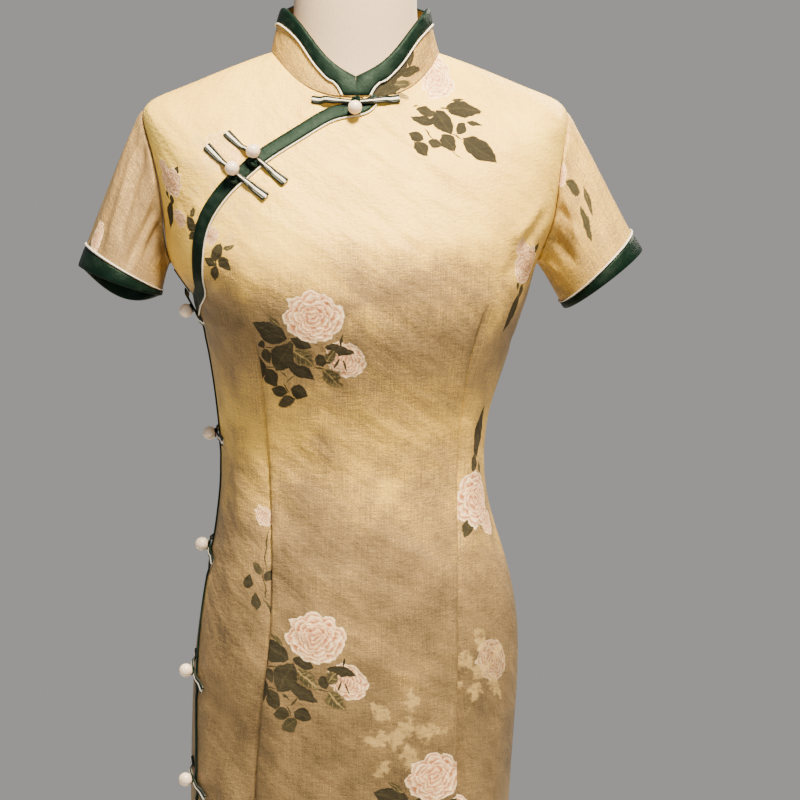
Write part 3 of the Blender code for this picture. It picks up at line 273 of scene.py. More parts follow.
# Round the collar band's section: share of its width from its foot up, then mm above that, mm outwards.
COLLAR_SECTION = (
    (1, 0.3, -1.9), (1, 0.3, 0.3), (0, 0, 0.3), (0, -0.1, 0.7), (0.03, 0, 1.12), (0.16, 0, 1.36),
    (0.5, 0, 1.46), (0.84, 0, 1.36), (1, 0.25, 1.05), (1, 1, 0.3), (1, 1.25, -0.9), (1, 0.95, -2),
)

# Frogs on the chest, in millimetres from the front: x, z, the loop's way, the knot's way, the tails' length,
# the ball's place and sink, how far the loop and the knot run on level, and how far the turns lie below.
CHEST_FROGS = (
    ("neck", -4, 1320, (1, 0.1), (-1, 0.1), 40, (-5.5, 1313), 2.4, (25, 26), -1),
    ("chest_1", -96, 1272.5, (0.66, -0.76), (-0.66, 0.76), 37, (-96, 1272.5), 0, (18, 9), 7),
    ("chest_2", -113, 1259, (0.73, -0.68), (-0.68, 0.74), 38, (-113, 1259), 0, (18, 9), 7),
)
# Frogs down the side, in mm: z, fall of the tails, level runs of loop and knot, height of the knot's rest.
SIDE_FROGS = (
    ("side_1", 1140, 0.9, (17, 17), 2.9),
    ("side_2", 1021, 0.3, (9, 9), 2.2),
    ("side_3", 915, 0.75, (9, 9), 1.5),
    ("side_4", 803, 0.85, (9, 9), 1.5),
    ("side_5", 703, 0.8, (9, 9), 1.5),
)
TAIL_FALL = 7 * MM  # a tail sinks to its rest over this length
SIDE_FROG_LENGTH = 24 * MM  # of a tail
SIDE_FROG_OUT = 1.5 * MM  # from the opening's edge out to its button
SIDE_FROG_WAY = (0.25, -1)  # x and y of the loop's way
TAIL_NARROW = 4.4 * MM  # widths at its root and at its end
TAIL_WIDE = 8.6 * MM
TAIL_THICK = 2.0 * MM
TAIL_BED = 1.3 * MM  # a button rests over this much of its tails
TAIL_APART = 1.2 * MM  # from the frog's middle to a tail's root
TAIL_TURN = 0.06  # the share of a tail that turns over at its end
TAIL_WHITE = 0.31  # the white cord fills this share of a tail's half width
# Height across a tail, from its middle to its edge: place in half widths, share of the thickness.
TAIL_PROFILE = (
    (0, 1), (0.15, 0.98), (0.28, 0.84), (0.36, 0.62), (0.42, 0.44), (0.5, 0.68), (0.64, 0.86), (0.8, 0.8),
    (0.94, 0.46), (1, 0),
)
TURNS_UNIT = 1.05 * MM  # third of the radius that a frog's turned knot is wound on
TURNS_R = 1.35 * MM  # half thickness of its rouleau
BALL_FLAT = (0.2, 0.12)  # a button's foot: its height and how far it is pressed in, in radii

# How far the form lies inside the cloth, against the run down the side line, in millimetres.
CLEARANCE = ((0, 2.4), (100, 1.9), (170, 2.4), (300, 3), (400, 4.5), (700, 4.5))
NECK_FLARE = 9  # the higher, the nearer to its base the neck flares
NECK_CLEAR = 3 * MM  # how far the neck's base lies inside the cloth
NECK_BASE_V = 0.012
NECK_EDGE = 6 * MM  # rounding of the neck's top edge
FORM_FOOT = 0.9  # breadth of its bottom against the ring above
FORM_SIDES = 160
FORM_GIRTH = 0.8  # metres of linen round it
# The stand's turned parts: node, radius, bottom, top and the rounding of their rims.
STAND = (
    ("stand_base", BASE_R, 0, BASE_H, 3 * MM),
    ("stand_pole", POLE_R, BASE_H + GAP, FORM_BOTTOM - GAP, 0.6 * MM),
)

# Sprays, in millimetres from the rose's centre, y up: x, y, turn of the leaf in degrees, half its length and
# width, and tone (0 dark leaf, 0.5 olive leaf, 1 pale ghost of a leaf).
ROSE_SPRAY = (
    (-40, -14, 155, 18, 8.2, 0), (-36, -4, 136, 10, 2.4, 0.45), (-27, -36, 62, 16, 9.5, 0.1),
    (-11, -49.5, -31, 16, 5.2, 0.05), (-8, -37, -36, 14, 7.2, 0.5), (7, -39, -70, 7, 4.6, 0.05),
    (15, -34, 48, 12, 5, 0.45), (23, -29, -12, 14, 4.2, 0), (-11, -23, -20, 10, 4.3, 0),
    (24, -20, 85, 5.5, 1.1, 0), (21, -41, 62, 6.5, 1.2, 0.2), (27.5, -44, -76, 6.5, 1.2, 0.2),
    (18, -56, -48, 13, 7, 0.5), (6, -46, -10, 7, 0.8, 0.3), (-47, -26, -70, 4.5, 2.6, 0),
    (-42.5, -37, -68, 7.5, 4, 0.1), (-49, -50, -84, 11, 5, 0), (-38, -58, -62, 10.5, 6, 0.1),
    (-19, -57, 44, 7, 0.8, 0.2), (-26, -54, -40, 5, 0.8, 0.2), (-40, -47.5, 2, 6, 0.8, 0.2),
    (-39, -29, 2, 6, 0.7, 0.2), (-31, -70, 176, 8, 4.8, 0.15), (-12, -69.5, -20, 9, 5.4, 0.05),
    (-24, -80, -150, 10, 5.3, 0.3), (-24, -67, -60, 6, 0.7, 0.2),
)
# A long stem up to a bud.
STEM_SPRAY = (
    (4, 24, 84, 22, 0.8, 0.3), (2, -8, 100, 16, 0.8, 0.3), (8, -34, 118, 18, 0.9, 0.3),
    (-14, -10, 70, 8, 4.2, 0.1), (-6, -26, 100, 8, 4, 0.1), (7, -2, 60, 7, 4.2, 0.1), (-5, 3, 130, 6, 3, 0.3),
    (14, -14, 40, 7, 3.4, 0.2),
)
SHOULDER_SPRAY = (
    (17.5, -34.5, -12, 18, 6.8, 0.02), (13.5, -24.5, 0, 7, 1.8, 0.07), (-5, -46, -62, 16, 8.1, 0.01),
    (-18.5, -34.5, -15, 10, 4.9, 0.09), (-23, -44, 162, 12.5, 4.1, 0.01), (11, -53.5, -130, 7, 4, 0.02),
    (25, -48.5, -14, 9, 2, 0.03), (27, -76, -42, 21, 8.1, 0), (-1.5, -68, -58, 10.5, 6.6, 0.03),
    (-13, -69.5, -20, 7.5, 4.5, 0.07), (-30.5, -61.5, 152, 8, 4.7, 0.02), (-26, -75, -50, 10, 4.9, 0.03),
    (-17.5, -59, -60, 8.5, 0.7, 0.02), (7, -61, -32, 7.5, 0.7, 0.02), (6, -80.5, -45, 6.5, 0.6, 0.04),
    (-1, -32, -20, 6.5, 0.8, 0.04), (-41, -24, 4, 10, 3.2, 0.6),
)
SIDE_SPRAY = (
    (3, 62, 82, 28, 7.5, 0.05), (-3, 34, 76, 10, 5, 0.1), (10, 30, 120, 8, 3, 0.3),
    (6, -24, -60, 10, 0.9, 0.3), (14, -12, -30, 9, 3, 0.4), (-14, -26, -110, 10, 4.5, 0.15),
)
TWIG_SPRAY = (
    (0, 0, 60, 10, 4.5, 0.15), (-9, -8, 150, 8, 4, 0.25), (7, -12, -50, 9, 4.6, 0.1),
    (-4, -20, -100, 9, 4, 0.3), (12, 4, 20, 8, 2.6, 0.4), (-2, -9, 80, 12, 0.8, 0.2),
)
GHOST_SPRAY = (
    (0, 0, 20, 16, 7, 1), (-18, 8, 140, 14, 6, 1), (14, -16, -50, 15, 6, 1), (-10, -20, -120, 13, 6, 1),
    (20, 14, 50, 11, 5, 1), (-2, 24, 95, 12, 5, 1), (-30, -12, 190, 10, 4, 1),
)
# Each spray's leaves, and its roses: x, y, radius across and up in millimetres, turn, and tone (0 over the
# leaves, 1 under, 2 faint).
SPRAYS = {
    "rose": (ROSE_SPRAY, ((0, 0, 27, 23.5, 0, 0), (28, -38, 16, 20, 50, 1))),
    "stem": (STEM_SPRAY, ((3, 50, 8, 10, 20, 0),)),
    "shoulder": (SHOULDER_SPRAY, ((0, 0, 21, 19, 70, 1),)),
    "side": (SIDE_SPRAY, ((0, 0, 26, 28, 120, 0), (22, -20, 12, 14, 30, 0))),
    "twig": (TWIG_SPRAY, ((-6, 16, 8, 10, 0, 0),)),
    "ghost": (GHOST_SPRAY, ((12, 6, 18, 19, 40, 2),)),
    "sketch": (GHOST_SPRAY, ()),
}
# Where each panel's sprays lie: spray, x and z of its origin in millimetres, turn in degrees, size.
PRINT = {
    "front": (
        ("rose", -47, 1134, 0, 1), ("rose", -41, 848, 0, 1), ("stem", -88, 905, 0, 1),
        ("rose", 63, 721, 0, 1), ("rose", -52, 560, 0, 1), ("rose", 60, 432, 0, 1), ("stem", 18, 492, 0, 1),
        ("shoulder", 72, 1344, 0, 1), ("side", 104, 964, 0, 1), ("twig", -126, 1190, 0, 0.9),
        ("side", 147, 1178, 168, 0.7), ("ghost", 108, 816, 0, 1.1), ("sketch", 34, 762, 40, 1.2),
        ("sketch", -118, 1236, 70, 1.1),
    ),
    "under": (
        ("side", -167, 1254, 172, 0.5), ("twig", -150, 1216, 60, 0.9), ("ghost", -128, 1268, 30, 1),
    ),
    "back": (
        ("rose", 40, 1240, 0, 1), ("rose", -52, 1010, 0, 1), ("stem", -96, 1070, 0, 1),
        ("rose", 66, 800, 0, 1), ("rose", -46, 590, 0, 1), ("stem", -92, 652, 0, 1),
        ("twig", -120, 1280, 40, 1.1), ("side", 104, 1010, 0, 0.9), ("ghost", -84, 840, 10, 1.2),
        ("ghost", 12, 420, 60, 1.3),
    ),
}
# Petal rings from the outside in: petals, radius and notch in shares of the rose's, turn in radians.
ROSE_RINGS = (
    (9, 1, 0.13, 0.3), (8, 0.83, 0.15, 1.2), (7, 0.66, 0.16, 0.1), (6, 0.5, 0.16, 2), (5, 0.34, 0.14, 0.7),
    (3, 0.18, 0.08, 1.6),
)
RING_DEPTH = 0.17  # a petal darkens over this share of the rose's radius
LEAF_GROW = 1.25  # a blade's half width against the tables'
STEM_WIDE = 1.3  # rows narrower than this, in millimetres, are stems
# Where leaves pass from olive to the ghost of a leaf, and petals from blush to white: share, colour.
GHOST_TONES = ((0.8, "a08a5a"), (1, "cfb271"))
PETAL_TONES = ((0.3, "b87c58"), (0.62, "dcb08a"), (0.82, "f0cfa4"))
# Ground tone of each sleeve, darker on the right as painted shade on the side away from the key light, and
# printed twigs of the sleeves: x round the sleeve from its top, y up from the armhole, in mm.
SLEEVE_PRINTS = {
    "right": (
        0.26,
        ((20, -78, 60, 10, 4.5, 0.3), (12, -90, 150, 9, 4, 0.4), (28, -92, -50, 9, 4, 0.35)),
        ((30, -70, 20, 9, 9, 0),),
    ),
    "left": (
        0.46,
        ((64, -22, 70, 12, 4.5, 0.25), (56, -40, 120, 10, 4, 0.35), (72, -46, -70, 12, 5, 0.3)),
        ((66, -4, 30, 8, 8, 0),),
    ),
}
# The collar's even ground tone.
COLLAR_GROUND = 0.44
# Leaves on the collar: x round it from the left of its opening, y up, then as in a spray.
COLLAR_LEAVES = (
    (16, 5, 60, 11, 6, 0), (24, 11, 110, 11, 6, 0.05), (31, 19, 40, 13, 6.5, 0), (41, 12, -30, 11, 5, 0.1),
    (42, 27, 80, 11, 5, 0.15), (24, 2, 10, 10, 5, 0.1), (33, 5, -20, 9, 4, 0.4),
)
WASH_AND_LIGHT_SPAN = (-0.9, 0.25)  # V at the ends of the painted light and shade
# The tone from the hem up, painted light and shade over the cloth's own uneven dye: share of its span, tone
# (0 brown, 1 pale). Pale on the chest that faces the key light above, a band of painted shade under the bust,
# lighter over the belly and darker on the hips and skirt.
WASH_AND_LIGHT = (
    (0, 0.19), (0.48, 0.17), (0.62, 0.27), (0.72, 0.6), (0.8, 0.21), (0.84, 0.44), (0.88, 0.74), (1, 0.74),
)
# Colours against the satin's tone, which carries the dye and the painted light and shade
SATIN_TONES = ((0, "brown"), (0.36, "tan"), (0.66, "cream"), (1, "pale"))

# The camera: distance, height, turn and tilt in metres and degrees; shift in frame widths.
CAMERA_FAR = 2.1
CAMERA_X = -0.0005
CAMERA_Z = 1.271
CAMERA_AZIMUTH = -4
CAMERA_DOWN = 6
CAMERA_LENS = 102.7
CAMERA_SHIFT = 0.0556
WORLD_TINT = "d8d6d2"
WORLD_LIGHT = 0.5
FLOOR_R = 2.2
# Lights: name, place, aim, width in metres, watts, colour.
LIGHTS = (
    ("Key", (0.32, -1.05, 3.15), (0.0, 0.0, 1.2), 0.6, 330, "ffecca"),
    ("Fill", (-1.8, -2.4, 1.7), (0.0, 0.0, 1.0), 1.6, 10, "f2f4ff"),
    ("Rim", (1.4, 1.9, 2.6), (0.0, 0.0, 1.0), 1.2, 60, "fff4e4"),
)
STEPS = ("form", "back", "under", "front", "sleeves", "collar", "frogs", "stand", "stage")


# ---- curves


def smooth_curve(places, values):
    """A natural cubic spline through the values, running on straight beyond its ends."""
    places, values = np.asarray(places, float), np.asarray(values, float)
    steps = np.diff(places)
    slopes = np.diff(values) / steps
    count = len(places)
    system, right = np.eye(count), np.zeros(count)
    for i in range(1, count - 1):
        system[i, i - 1 : i + 2] = steps[i - 1], 2 * (steps[i - 1] + steps[i]), steps[i]
        right[i] = 6 * (slopes[i] - slopes[i - 1])
    bend = np.linalg.solve(system, right)
    first_slope = slopes[0] - bend[1] * steps[0] / 6
    last_slope = slopes[-1] + bend[-2] * steps[-1] / 6

    def at(asked):
        asked = np.asarray(asked, float)
        where = np.clip(asked, places[0], places[-1])
        before, after = np.minimum(asked - places[0], 0), np.maximum(asked - places[-1], 0)
        i = np.clip(np.searchsorted(places, where, side="right") - 1, 0, count - 2)
        a, b = places[i + 1] - where, where - places[i]
        h = steps[i]
        return (
            before * first_slope
            + after * last_slope
            + (bend[i] * a**3 + bend[i + 1] * b**3) / (6 * h)
            + (values[i] / h - bend[i] * h / 6) * a
            + (values[i + 1] / h - bend[i + 1] * h / 6) * b
        )

    return at


def ease(t):
    """0 to 1, setting off and arriving gently."""
    t = np.clip(t, 0.0, 1.0)
    return t * t * (3 - 2 * t)


def unit(vectors):
    """Vectors along the last axis, scaled to length 1."""
    return vectors / np.linalg.norm(vectors, axis=-1, keepdims=True)


def hump(off, half):
    """1 on a line, dying away to both sides of it."""
    return np.exp(-((off / half) ** 2))


def line_relief(off, table):
    """Height at this distance from a sewn line, in metres."""
    return sum(height * MM * hump(off - shift * MM, half * MM) for shift, half, height in table)


def run_of(points):
    """The distance along a line through points, at each of them."""
    return np.concatenate([[0], np.cumsum(np.linalg.norm(np.diff(points, axis=0), axis=1))])


# ---- the body surface

BODY_BY = dict(zip(BODY_COLUMNS, np.array(BODY, float).T))
BODY_AT = {name: smooth_curve(BODY_BY["run"] * MM, BODY_BY[name]) for name in BODY_COLUMNS[1:]}


def skin(g, v):
    """The cloth's inner surface with no folds: points for arrays of g and v."""
    g, v = np.broadcast_arrays(np.asarray(g, float), np.asarray(v, float))
    g = (g + 3) % 4 - 3
    at = {name: curve(v) for name, curve in BODY_AT.items()}
    front = g >= -1
    turn = np.where(front, g, -2 - g)  # -1 right side, 0 centre, 1 left side
    power = np.where(front, at["front_p"], at["back_p"])
    angle = (1 - np.abs(turn)) * math.pi / 2
    across, deep = np.abs(np.cos(angle)), np.abs(np.sin(angle))
    reach = (across**power + deep**power) ** (-1 / power)
    across, deep = across * reach, deep * reach
    centre_y = np.where(front, at["front_y"], at["back_y"])
    centre_z = np.where(front, at["front_z"], at["back_z"])
    x = np.where(turn < 0, -at["right_x"], at["left_x"]) * across
    y = at["side_y"] + (centre_y - at["side_y"]) * deep
    z = centre_z + (at["side_z"] - centre_z) * across ** at["bow"]
    return np.stack([x, y, z], -1) * MM


def outward(surface, a, b, facing=-1.0):
    """Unit normals of a surface; facing turns them to its outer side."""
    step = 2e-4
    along = surface(a + step, b) - surface(a - step, b)
    down = surface(a, b + step) - surface(a, b - step)
    return facing * unit(np.cross(along, down))


def walk(g, v, way, distance):
    """Places (g, v) moved this far along the body's surface, towards directions in space."""
    g, v = np.asarray(g, float), np.asarray(v, float)
    probe, steps = 1e-4, 3
    for _ in range(steps):
        dg = (skin(g + probe, v) - skin(g - probe, v)) / (2 * probe)
        dv = (skin(g, v + probe) - skin(g, v - probe)) / (2 * probe)
        gg, gv, vv = (dg * dg).sum(-1), (dg * dv).sum(-1), (dv * dv).sum(-1)
        to_g, to_v = (dg * way).sum(-1), (dv * way).sum(-1)
        spread = (gg * vv - gv * gv) * steps / distance
        g, v = g + (to_g * vv - to_v * gv) / spread, v + (to_v * gg - to_g * gv) / spread
    return g, v


def front_place(x, z):
    """(g, v) of the front's points at these x and z, in metres."""
    x, z = np.broadcast_arrays(np.asarray(x, float), np.asarray(z, float))
    low, high = np.zeros(x.shape), np.full(x.shape, HEM_V)
    for _ in range(36):
        v = (low + high) / 2
        half = np.where(x < 0, BODY_AT["right_x"](v), BODY_AT["left_x"](v)) * MM
        share = np.minimum(np.abs(x) / half, 1.0)
        centre, edge = BODY_AT["front_z"](v), BODY_AT["side_z"](v)
        above = centre + (edge - centre) * share ** BODY_AT["bow"](v) > z / MM
        low, high = np.where(above, v, low), np.where(above, high, v)
    power = BODY_AT["front_p"](v)
    deep = np.maximum(1 - share**power, 0.0) ** (1 / power)
    turn = 1 - np.arctan2(deep, share) / (math.pi / 2)
    return np.copysign(turn, x), v


def quarter_length(v, turn):
    """Metres for each unit of g at the side line."""
    step = 1e-3
    near = skin(turn * (1 - step), v)
    return np.linalg.norm(near - skin(turn, v), axis=-1) / step


# ---- lines on the surface


def line_of(points):
    """(g against v, first v, last v) of a line drawn on the front through (x, z) in millimetres."""
    points = np.array(points, float) * MM
    run = run_of(points)
    dense = np.linspace(0, run[-1], 240)
    g, v = front_place(*(smooth_curve(run, points[:, k])(dense) for k in (0, 1)))
    v = np.maximum.accumulate(v + np.arange(len(v)) * 1e-9)
    return (lambda where: np.interp(where, v, g)), v[0], v[-1]


def slit_gap(v):
    """Half the distance between front and back at a side: a sewn seam, then a slit below its top."""
    z = BODY_AT["side_z"](v) * MM
    return SEAM / 2 + SLIT_SPREAD * np.clip((SLIT_TOP - z) / (SLIT_TOP - HEM), 0, 1) ** 0.8


def left_edge(v, deepest):
    """|g| of a panel's edge on the left side, or of both edges above the underarm."""
    t = np.clip((np.asarray(v, float) - TIP_V) / (UNDERARM_V - TIP_V), 0, 1)
    cut = deepest * np.sin(math.pi * t) ** ARMHOLE_POWER
    return 1 - (cut + slit_gap(v)) / quarter_length(v, 1.0)


LAPEL_LINE = line_of(LAPEL)[0]
OPENING_LINE = smooth_curve(*np.array(OPENING, float).T * MM)


def opening_edge(v):
    """g of the lapped front's edge: the lapel, then the right side opening."""
    v = np.asarray(v, float)
    side = -1 + OPENING_LINE(v) / quarter_length(v, -1.0)
    lapel = LAPEL_LINE(v)
    start, end = LAPEL_BLEND_V
    return lapel + (side - lapel) * ease((v - start) / (end - start))


def inward(v):
    """The way into the lapped front, square to its edge."""
    low, high = np.maximum(v - EDGE_PROBE, 0.0), v + EDGE_PROBE
    tangent = unit(skin(opening_edge(high), high) - skin(opening_edge(low), low))
    return -np.cross(tangent, outward(skin, opening_edge(v), v))


def inner_line(lapel_distance, side_distance):
    """g, against v, of a line inside the lapped front's edge: one distance at the lapel, another below."""
    v = np.linspace(0, BAND_END_V + 0.03, 160)
    g, down = walk(opening_edge(v), v, inward(v), lapel_distance)
    slope = (g[4] - g[0]) / (down[4] - down[0])

    def at(where):
        above = g[0] + (where - down[0]) * slope
        lapel = np.where(where < down[0], above, np.interp(where, down, g))
        side = opening_edge(where) + side_distance / quarter_length(where, -1.0)
        return np.where(where <= BAND_END_V, lapel, side)

    return at


BAND_LINE = inner_line(LAPEL_BAND, SIDE_BAND)
PIPING_LINE = inner_line(LAPEL_BAND + 2.5 * GAP + BAND_TO_PIPING, SIDE_BAND + GAP + BAND_TO_PIPING)
EDGE_LINES = (opening_edge, BAND_LINE, PIPING_LINE, inner_line(UNDERLAP, UNDERLAP))

# ---- relief

DART_LINES = {(side, panel): (line_of(points), taken) for side, panel, taken, points in DARTS}


def fold_height(points, panel):
    """Height of the folds, creases and pulls at these points, in metres."""
    high = np.zeros(points.shape[:-1])
    x, z = points[..., 0] / MM, points[..., 2] / MM
    for x0, z0, x1, z1, sag, half, height in CREASES[panel]:
        length = math.hypot(x1 - x0, z1 - z0)
        along = ((x - x0) * (x1 - x0) + (z - z0) * (z1 - z0)) / length**2
        off = ((x - x0) * (z1 - z0) - (z - z0) * (x1 - x0)) / length
        off = off + sag * (1 - (2 * along - 1) ** 2)
        ends = ease(along / FOLD_END) * ease((1 - along) / FOLD_END)
        high += height * MM * hump(off, half) * ends
    if panel == "front":
        for z0, long, slope, half, height in PULLS:
            start = PULL_X + PULL_STAGGER * math.cos(z0)
            off = (z - z0) - slope * (x - start)
            along = (x - start) / long
            ends = np.exp(-np.maximum(along, 0)) * ease((1 - along) / 0.6)
            high += height * MM * hump(off, half) * ends
    return high * settings()[0].crease


def dart_height(g, v, panel):
    """Each dart's sewn line sinks sharply into the cloth and puckers it a little on both sides."""
    high = np.zeros(np.broadcast(g, v).shape)
    turn = g if panel == "front" else -2 - g
    for (side, on), ((line, top, bottom), _) in DART_LINES.items():
        if on == panel:
            off = (turn - line(v)) * DART_PER_G * (1 if side == "left" else -1)
            ends = ease((v - top) / DART_FADE) * ease((bottom - v) / DART_FADE)
            pucker = np.sin(v * 640 + 2 * np.sin(v * 71)) * np.sin(v * 233 + 1.3) * PUCKER[1]
            high += (line_relief(off, DART_RELIEF) + pucker * hump(off, PUCKER[0])) * ends
    return high * settings()[0].crease


def edge_tree():
    """The lapped front's edge as a search tree."""
    v = np.linspace(0, HEM_V, 900)
    tree = kdtree.KDTree(len(v))
    for i, point in enumerate(skin(opening_edge(v), v)):
        tree.insert(point, i)
    tree.balance()
    return tree


EDGE_TREE = edge_tree()


def lap_lift(points):
    """The lapped front stands off the body near its edge."""
    flat = points.reshape(-1, 3)
    near = np.array([EDGE_TREE.find(point)[2] for point in flat]).reshape(points.shape[:-1])
    return LAP_LIFT * (1 - ease((near - LAP_FLAT) / LAP_FADE))


def front_height(points, g, v):
    """The lapped front's inner face above the body surface."""
    return lap_lift(points) + fold_height(points, "front") + dart_height(g, v, "front")


# ---- settings


def linear(code):
    """Linear red, green and blue of an sRGB hex code."""
    parts = [int(code[k : k + 2], 16) / 255 for k in (0, 2, 4)]
    return tuple(c / 12.92 if c <= 0.04045 else ((c + 0.055) / 1.055) ** 2.4 for c in parts)


def size(name, description, default, low, high):
    """A length that the user can change, in metres."""
    kind = {"default": default, "min": low, "max": high, "unit": "LENGTH", "precision": 4}
    return bpy.props.FloatProperty(name=name, description=description, **kind)


def amount(name, description, default):
    """A share that the user can change."""
    return bpy.props.FloatProperty(name=name, description=description, default=default, min=0.0, max=2.0)


def colour(name, description, code):
    """A colour that the user can change, from its sRGB hex code."""
    kind = {"default": linear(code), "min": 0.0, "max": 1.0, "size": 3, "subtype": "COLOR"}
    return bpy.props.FloatVectorProperty(name=name, description=description, **kind)


class CheongsamSizes(bpy.types.PropertyGroup):
    """Sizes and amounts of the finish."""

    wall: size("Cloth wall", "Thickness of the lined cloth", 1.2 * MM, 1 * MM, 3 * MM)
    piping: size("Piping radius", "Radius of the white piping cord", 0.8 * MM, 0.5 * MM, 1.5 * MM)
    button: size("Button radius", "Radius of the pearl ball buttons", 6.3 * MM, 4 * MM, 9 * MM)
    spray: amount("Spray size", "Size of the printed rose sprays against the real one", 1.0)
    crease: amount("Crease depth", "Depth of the folds and creases against the tables", 1.5)
    slub: amount("Slub", "Strength of the shantung's crosswise slubs", 1.0)
    # the mottling's clouds carry the uneven dye and painted sheen and shade of the crinkles
    mottle: amount("Mottling", "Strength of the cloth's antique wash", 1.0)


class CheongsamColours(bpy.types.PropertyGroup):
    """Colours of the finish."""

    # pale, cream, tan and brown follow the satin's tone, which carries painted light on the chest and painted
    # shade under the bust and lower down, over the dye
    pale: colour("Satin, pale", "The lightest patches of the wash", "fcdd62")
    cream: colour("Satin, cream", "The wash over the shoulders and the chest", "e4bb54")
    tan: colour("Satin, tan", "The wash below the bust", "8d7550")
    brown: colour("Satin, brown", "The darkest patches of the wash", "504434")
    leaf: colour("Dark leaf", "Printed leaves", "20221f")
    olive: colour("Olive leaf", "Lighter printed leaves", "3d3b2b")
    petal: colour("Petal", "Light part of a printed petal", "ffe6c0")
    blush: colour("Blush", "Folds between a rose's petals", "8a5236")
    green: colour("Green satin", "Bindings and the frogs' outer cords", "05150f")
    white: colour("White satin", "Piping and the frogs' inner cords", "dedad0")
    pearl: colour("Pearl", "Ball buttons", "f0dfcd")
    linen: colour("Linen", "The dress form's cover", "d3bda3")
    enamel: colour("Enamel", "Pole and base", "15171a")
    stage: colour("Stage", "Floor", "c9c5bf")


def settings():
    """(sizes, colours) that the user has set."""
    scene = bpy.context.scene
    return scene.cheongsam_sizes, scene.cheongsam_colours


# ---- shader nodes


def plug(tree, node, inputs):
    """Links or sets a node's inputs, by place or by name; a node stands for its first output."""
    for key, value in inputs.items():
        if isinstance(value, bpy.types.Node):
            value = value.outputs[0]
        if isinstance(value, bpy.types.NodeSocket):
            tree.links.new(value, node.inputs[key])
        else:
            node.inputs[key].default_value = value


def add(tree, kind, inputs=(), operation=None, stops=(), **choices):
    """A new shader node with these inputs, operation and choices; stops are a ramp's places and colours."""
    node = tree.nodes.new("ShaderNode" + kind)
    if operation:
        node.operation = operation
    for name, value in choices.items():
        setattr(node, name, value)
    for i, (place, paint) in enumerate(stops):
        elements = node.color_ramp.elements
        element = elements[i] if i < 2 else elements.new(place)
        element.position = place
        element.color = (*(linear(paint) if isinstance(paint, str) else paint), 1)
    plug(tree, node, inputs if isinstance(inputs, dict) else dict(enumerate(inputs)))
    return node


SHARED = {}


def ready(key, make):
    """The material or node group with this key, made when it is first asked for."""
    if key not in SHARED:
        SHARED[key] = make()
    return SHARED[key]


def new_material(name, paint, *given):
    """A material whose nodes are laid by paint(its node tree, its Principled shader, *given)."""
    material = bpy.data.materials.new(name)
    material.use_nodes = True
    tree = material.node_tree
    paint(tree, tree.nodes["Principled BSDF"], *given)
    return material


def total(tree, start, terms):
    """start plus each (input, weight, middle) as weight * (input - middle)."""
    found = start
    for term, weight, middle in terms:
        base = add(tree, "Math", (found, -weight * middle), "ADD")
        found = add(tree, "Math", (term, weight, base), "MULTIPLY_ADD")
    return found


# ---- the print


def placed(table, x, y, turn, scale):
    """Rows (x, y, turn, ...) of a spray moved to a place on the cloth: millimetres to metres."""
    cos, sin = math.cos(math.radians(turn)), math.sin(math.radians(turn))
    moved = []
    for row in table:
        along, up = row[0] * MM * scale, row[1] * MM * scale
        moved.append((x + along * cos - up * sin, y + along * sin + up * cos, *row[2:]))
    return moved


def in_metres(marks):
    """Leaves or roses given in millimetres."""
    return [(x * MM, y * MM, turn, long * MM, wide * MM, tone) for x, y, turn, long, wide, tone in marks]


def marks_of(side, uv, points, taken):
    """(leaves, roses) on a panel's flattened cloth: rows (x, y, turn, half length, half width, tone)."""
    leaves, roses = [], []
    for spray, x, z, turn, scale in PRINT[side]:
        away = np.hypot(points[:, :-1, 0] - x * MM, points[:, :-1, 2] - z * MM)
        at = np.unravel_index(np.argmin(away), away.shape)
        u, v = uv[at]
        u += taken[at]
        grown = scale * settings()[0].spray
        blades, blooms = (placed(marks, u, v, turn, grown) for marks in SPRAYS[spray])
        for x_of, y_of, own_turn, long, wide, tone in blades:
            wide = wide * (LEAF_GROW if wide > STEM_WIDE else 1.0)
            leaves.append((x_of, y_of, own_turn + turn, long * MM * grown, wide * MM * grown, tone))
        for x_of, y_of, wide, high, own_turn, tone in blooms:
            roses.append((x_of, y_of, own_turn + turn, wide * MM * grown, high * MM * grown, tone))
    return leaves, roses


TONE_DEPTH = 0.3  # a mark's tone, 0 to 1, is carried as its own z over this depth
FAR = 99.0
CHOICE_VECTORS = ("Vector", "Center", "Size", "Start", "Best")
CHOICE_NUMBERS = ("Angle", "Least")


def mark_choice():
    """A node group that keeps the nearer of the best mark so far and one more mark."""
    group = bpy.data.node_groups.new("Nearer mark", "ShaderNodeTree")
    for kind, names in (("NodeSocketVector", CHOICE_VECTORS), ("NodeSocketFloat", CHOICE_NUMBERS)):
        for name in names:
            group.interface.new_socket(name, in_out="INPUT", socket_type=kind)
        group.interface.new_socket(names[-1], in_out="OUTPUT", socket_type=kind)
    given = group.nodes.new("NodeGroupInput").outputs
    place = {name: given[name] for name in ("Vector", "Center", "Angle")}
    turned = add(group, "VectorRotate", place, rotation_type="Z_AXIS")
    own = add(group, "VectorMath", (turned, given["Size"], given["Start"]), "MULTIPLY_ADD")
    far = add(group, "VectorMath", (own,), "LENGTH").outputs["Value"]
    nearer = add(group, "Math", (far, given["Least"]), "LESS_THAN")
    best = add(group, "Mix", {0: nearer, 4: given["Best"], 5: own}, data_type="VECTOR").outputs[1]
    least = add(group, "Math", (far, given["Least"]), "MINIMUM")
    plug(group, group.nodes.new("NodeGroupOutput"), {"Best": best, "Least": least})
    return group


def nearest_mark(tree, vector, marks):
    """The nearest mark's own coordinates, in its half sizes, with its tone as z."""
    group = ready("Nearer mark", mark_choice)
    best, least = (FAR, FAR, 0.0), FAR
    for x, y, turn, long, wide, tone in marks:
        step = {
            "Vector": vector,
            "Center": (x, y, 0.0),
            "Angle": -math.radians(turn),
            "Size": (1 / long, 1 / wide, 1.0),
            "Start": (-x / long, -y / wide, tone * TONE_DEPTH),
            "Best": best,
            "Least": least,
        }
        best, least = add(tree, "Group", step, node_tree=group).outputs
    return best


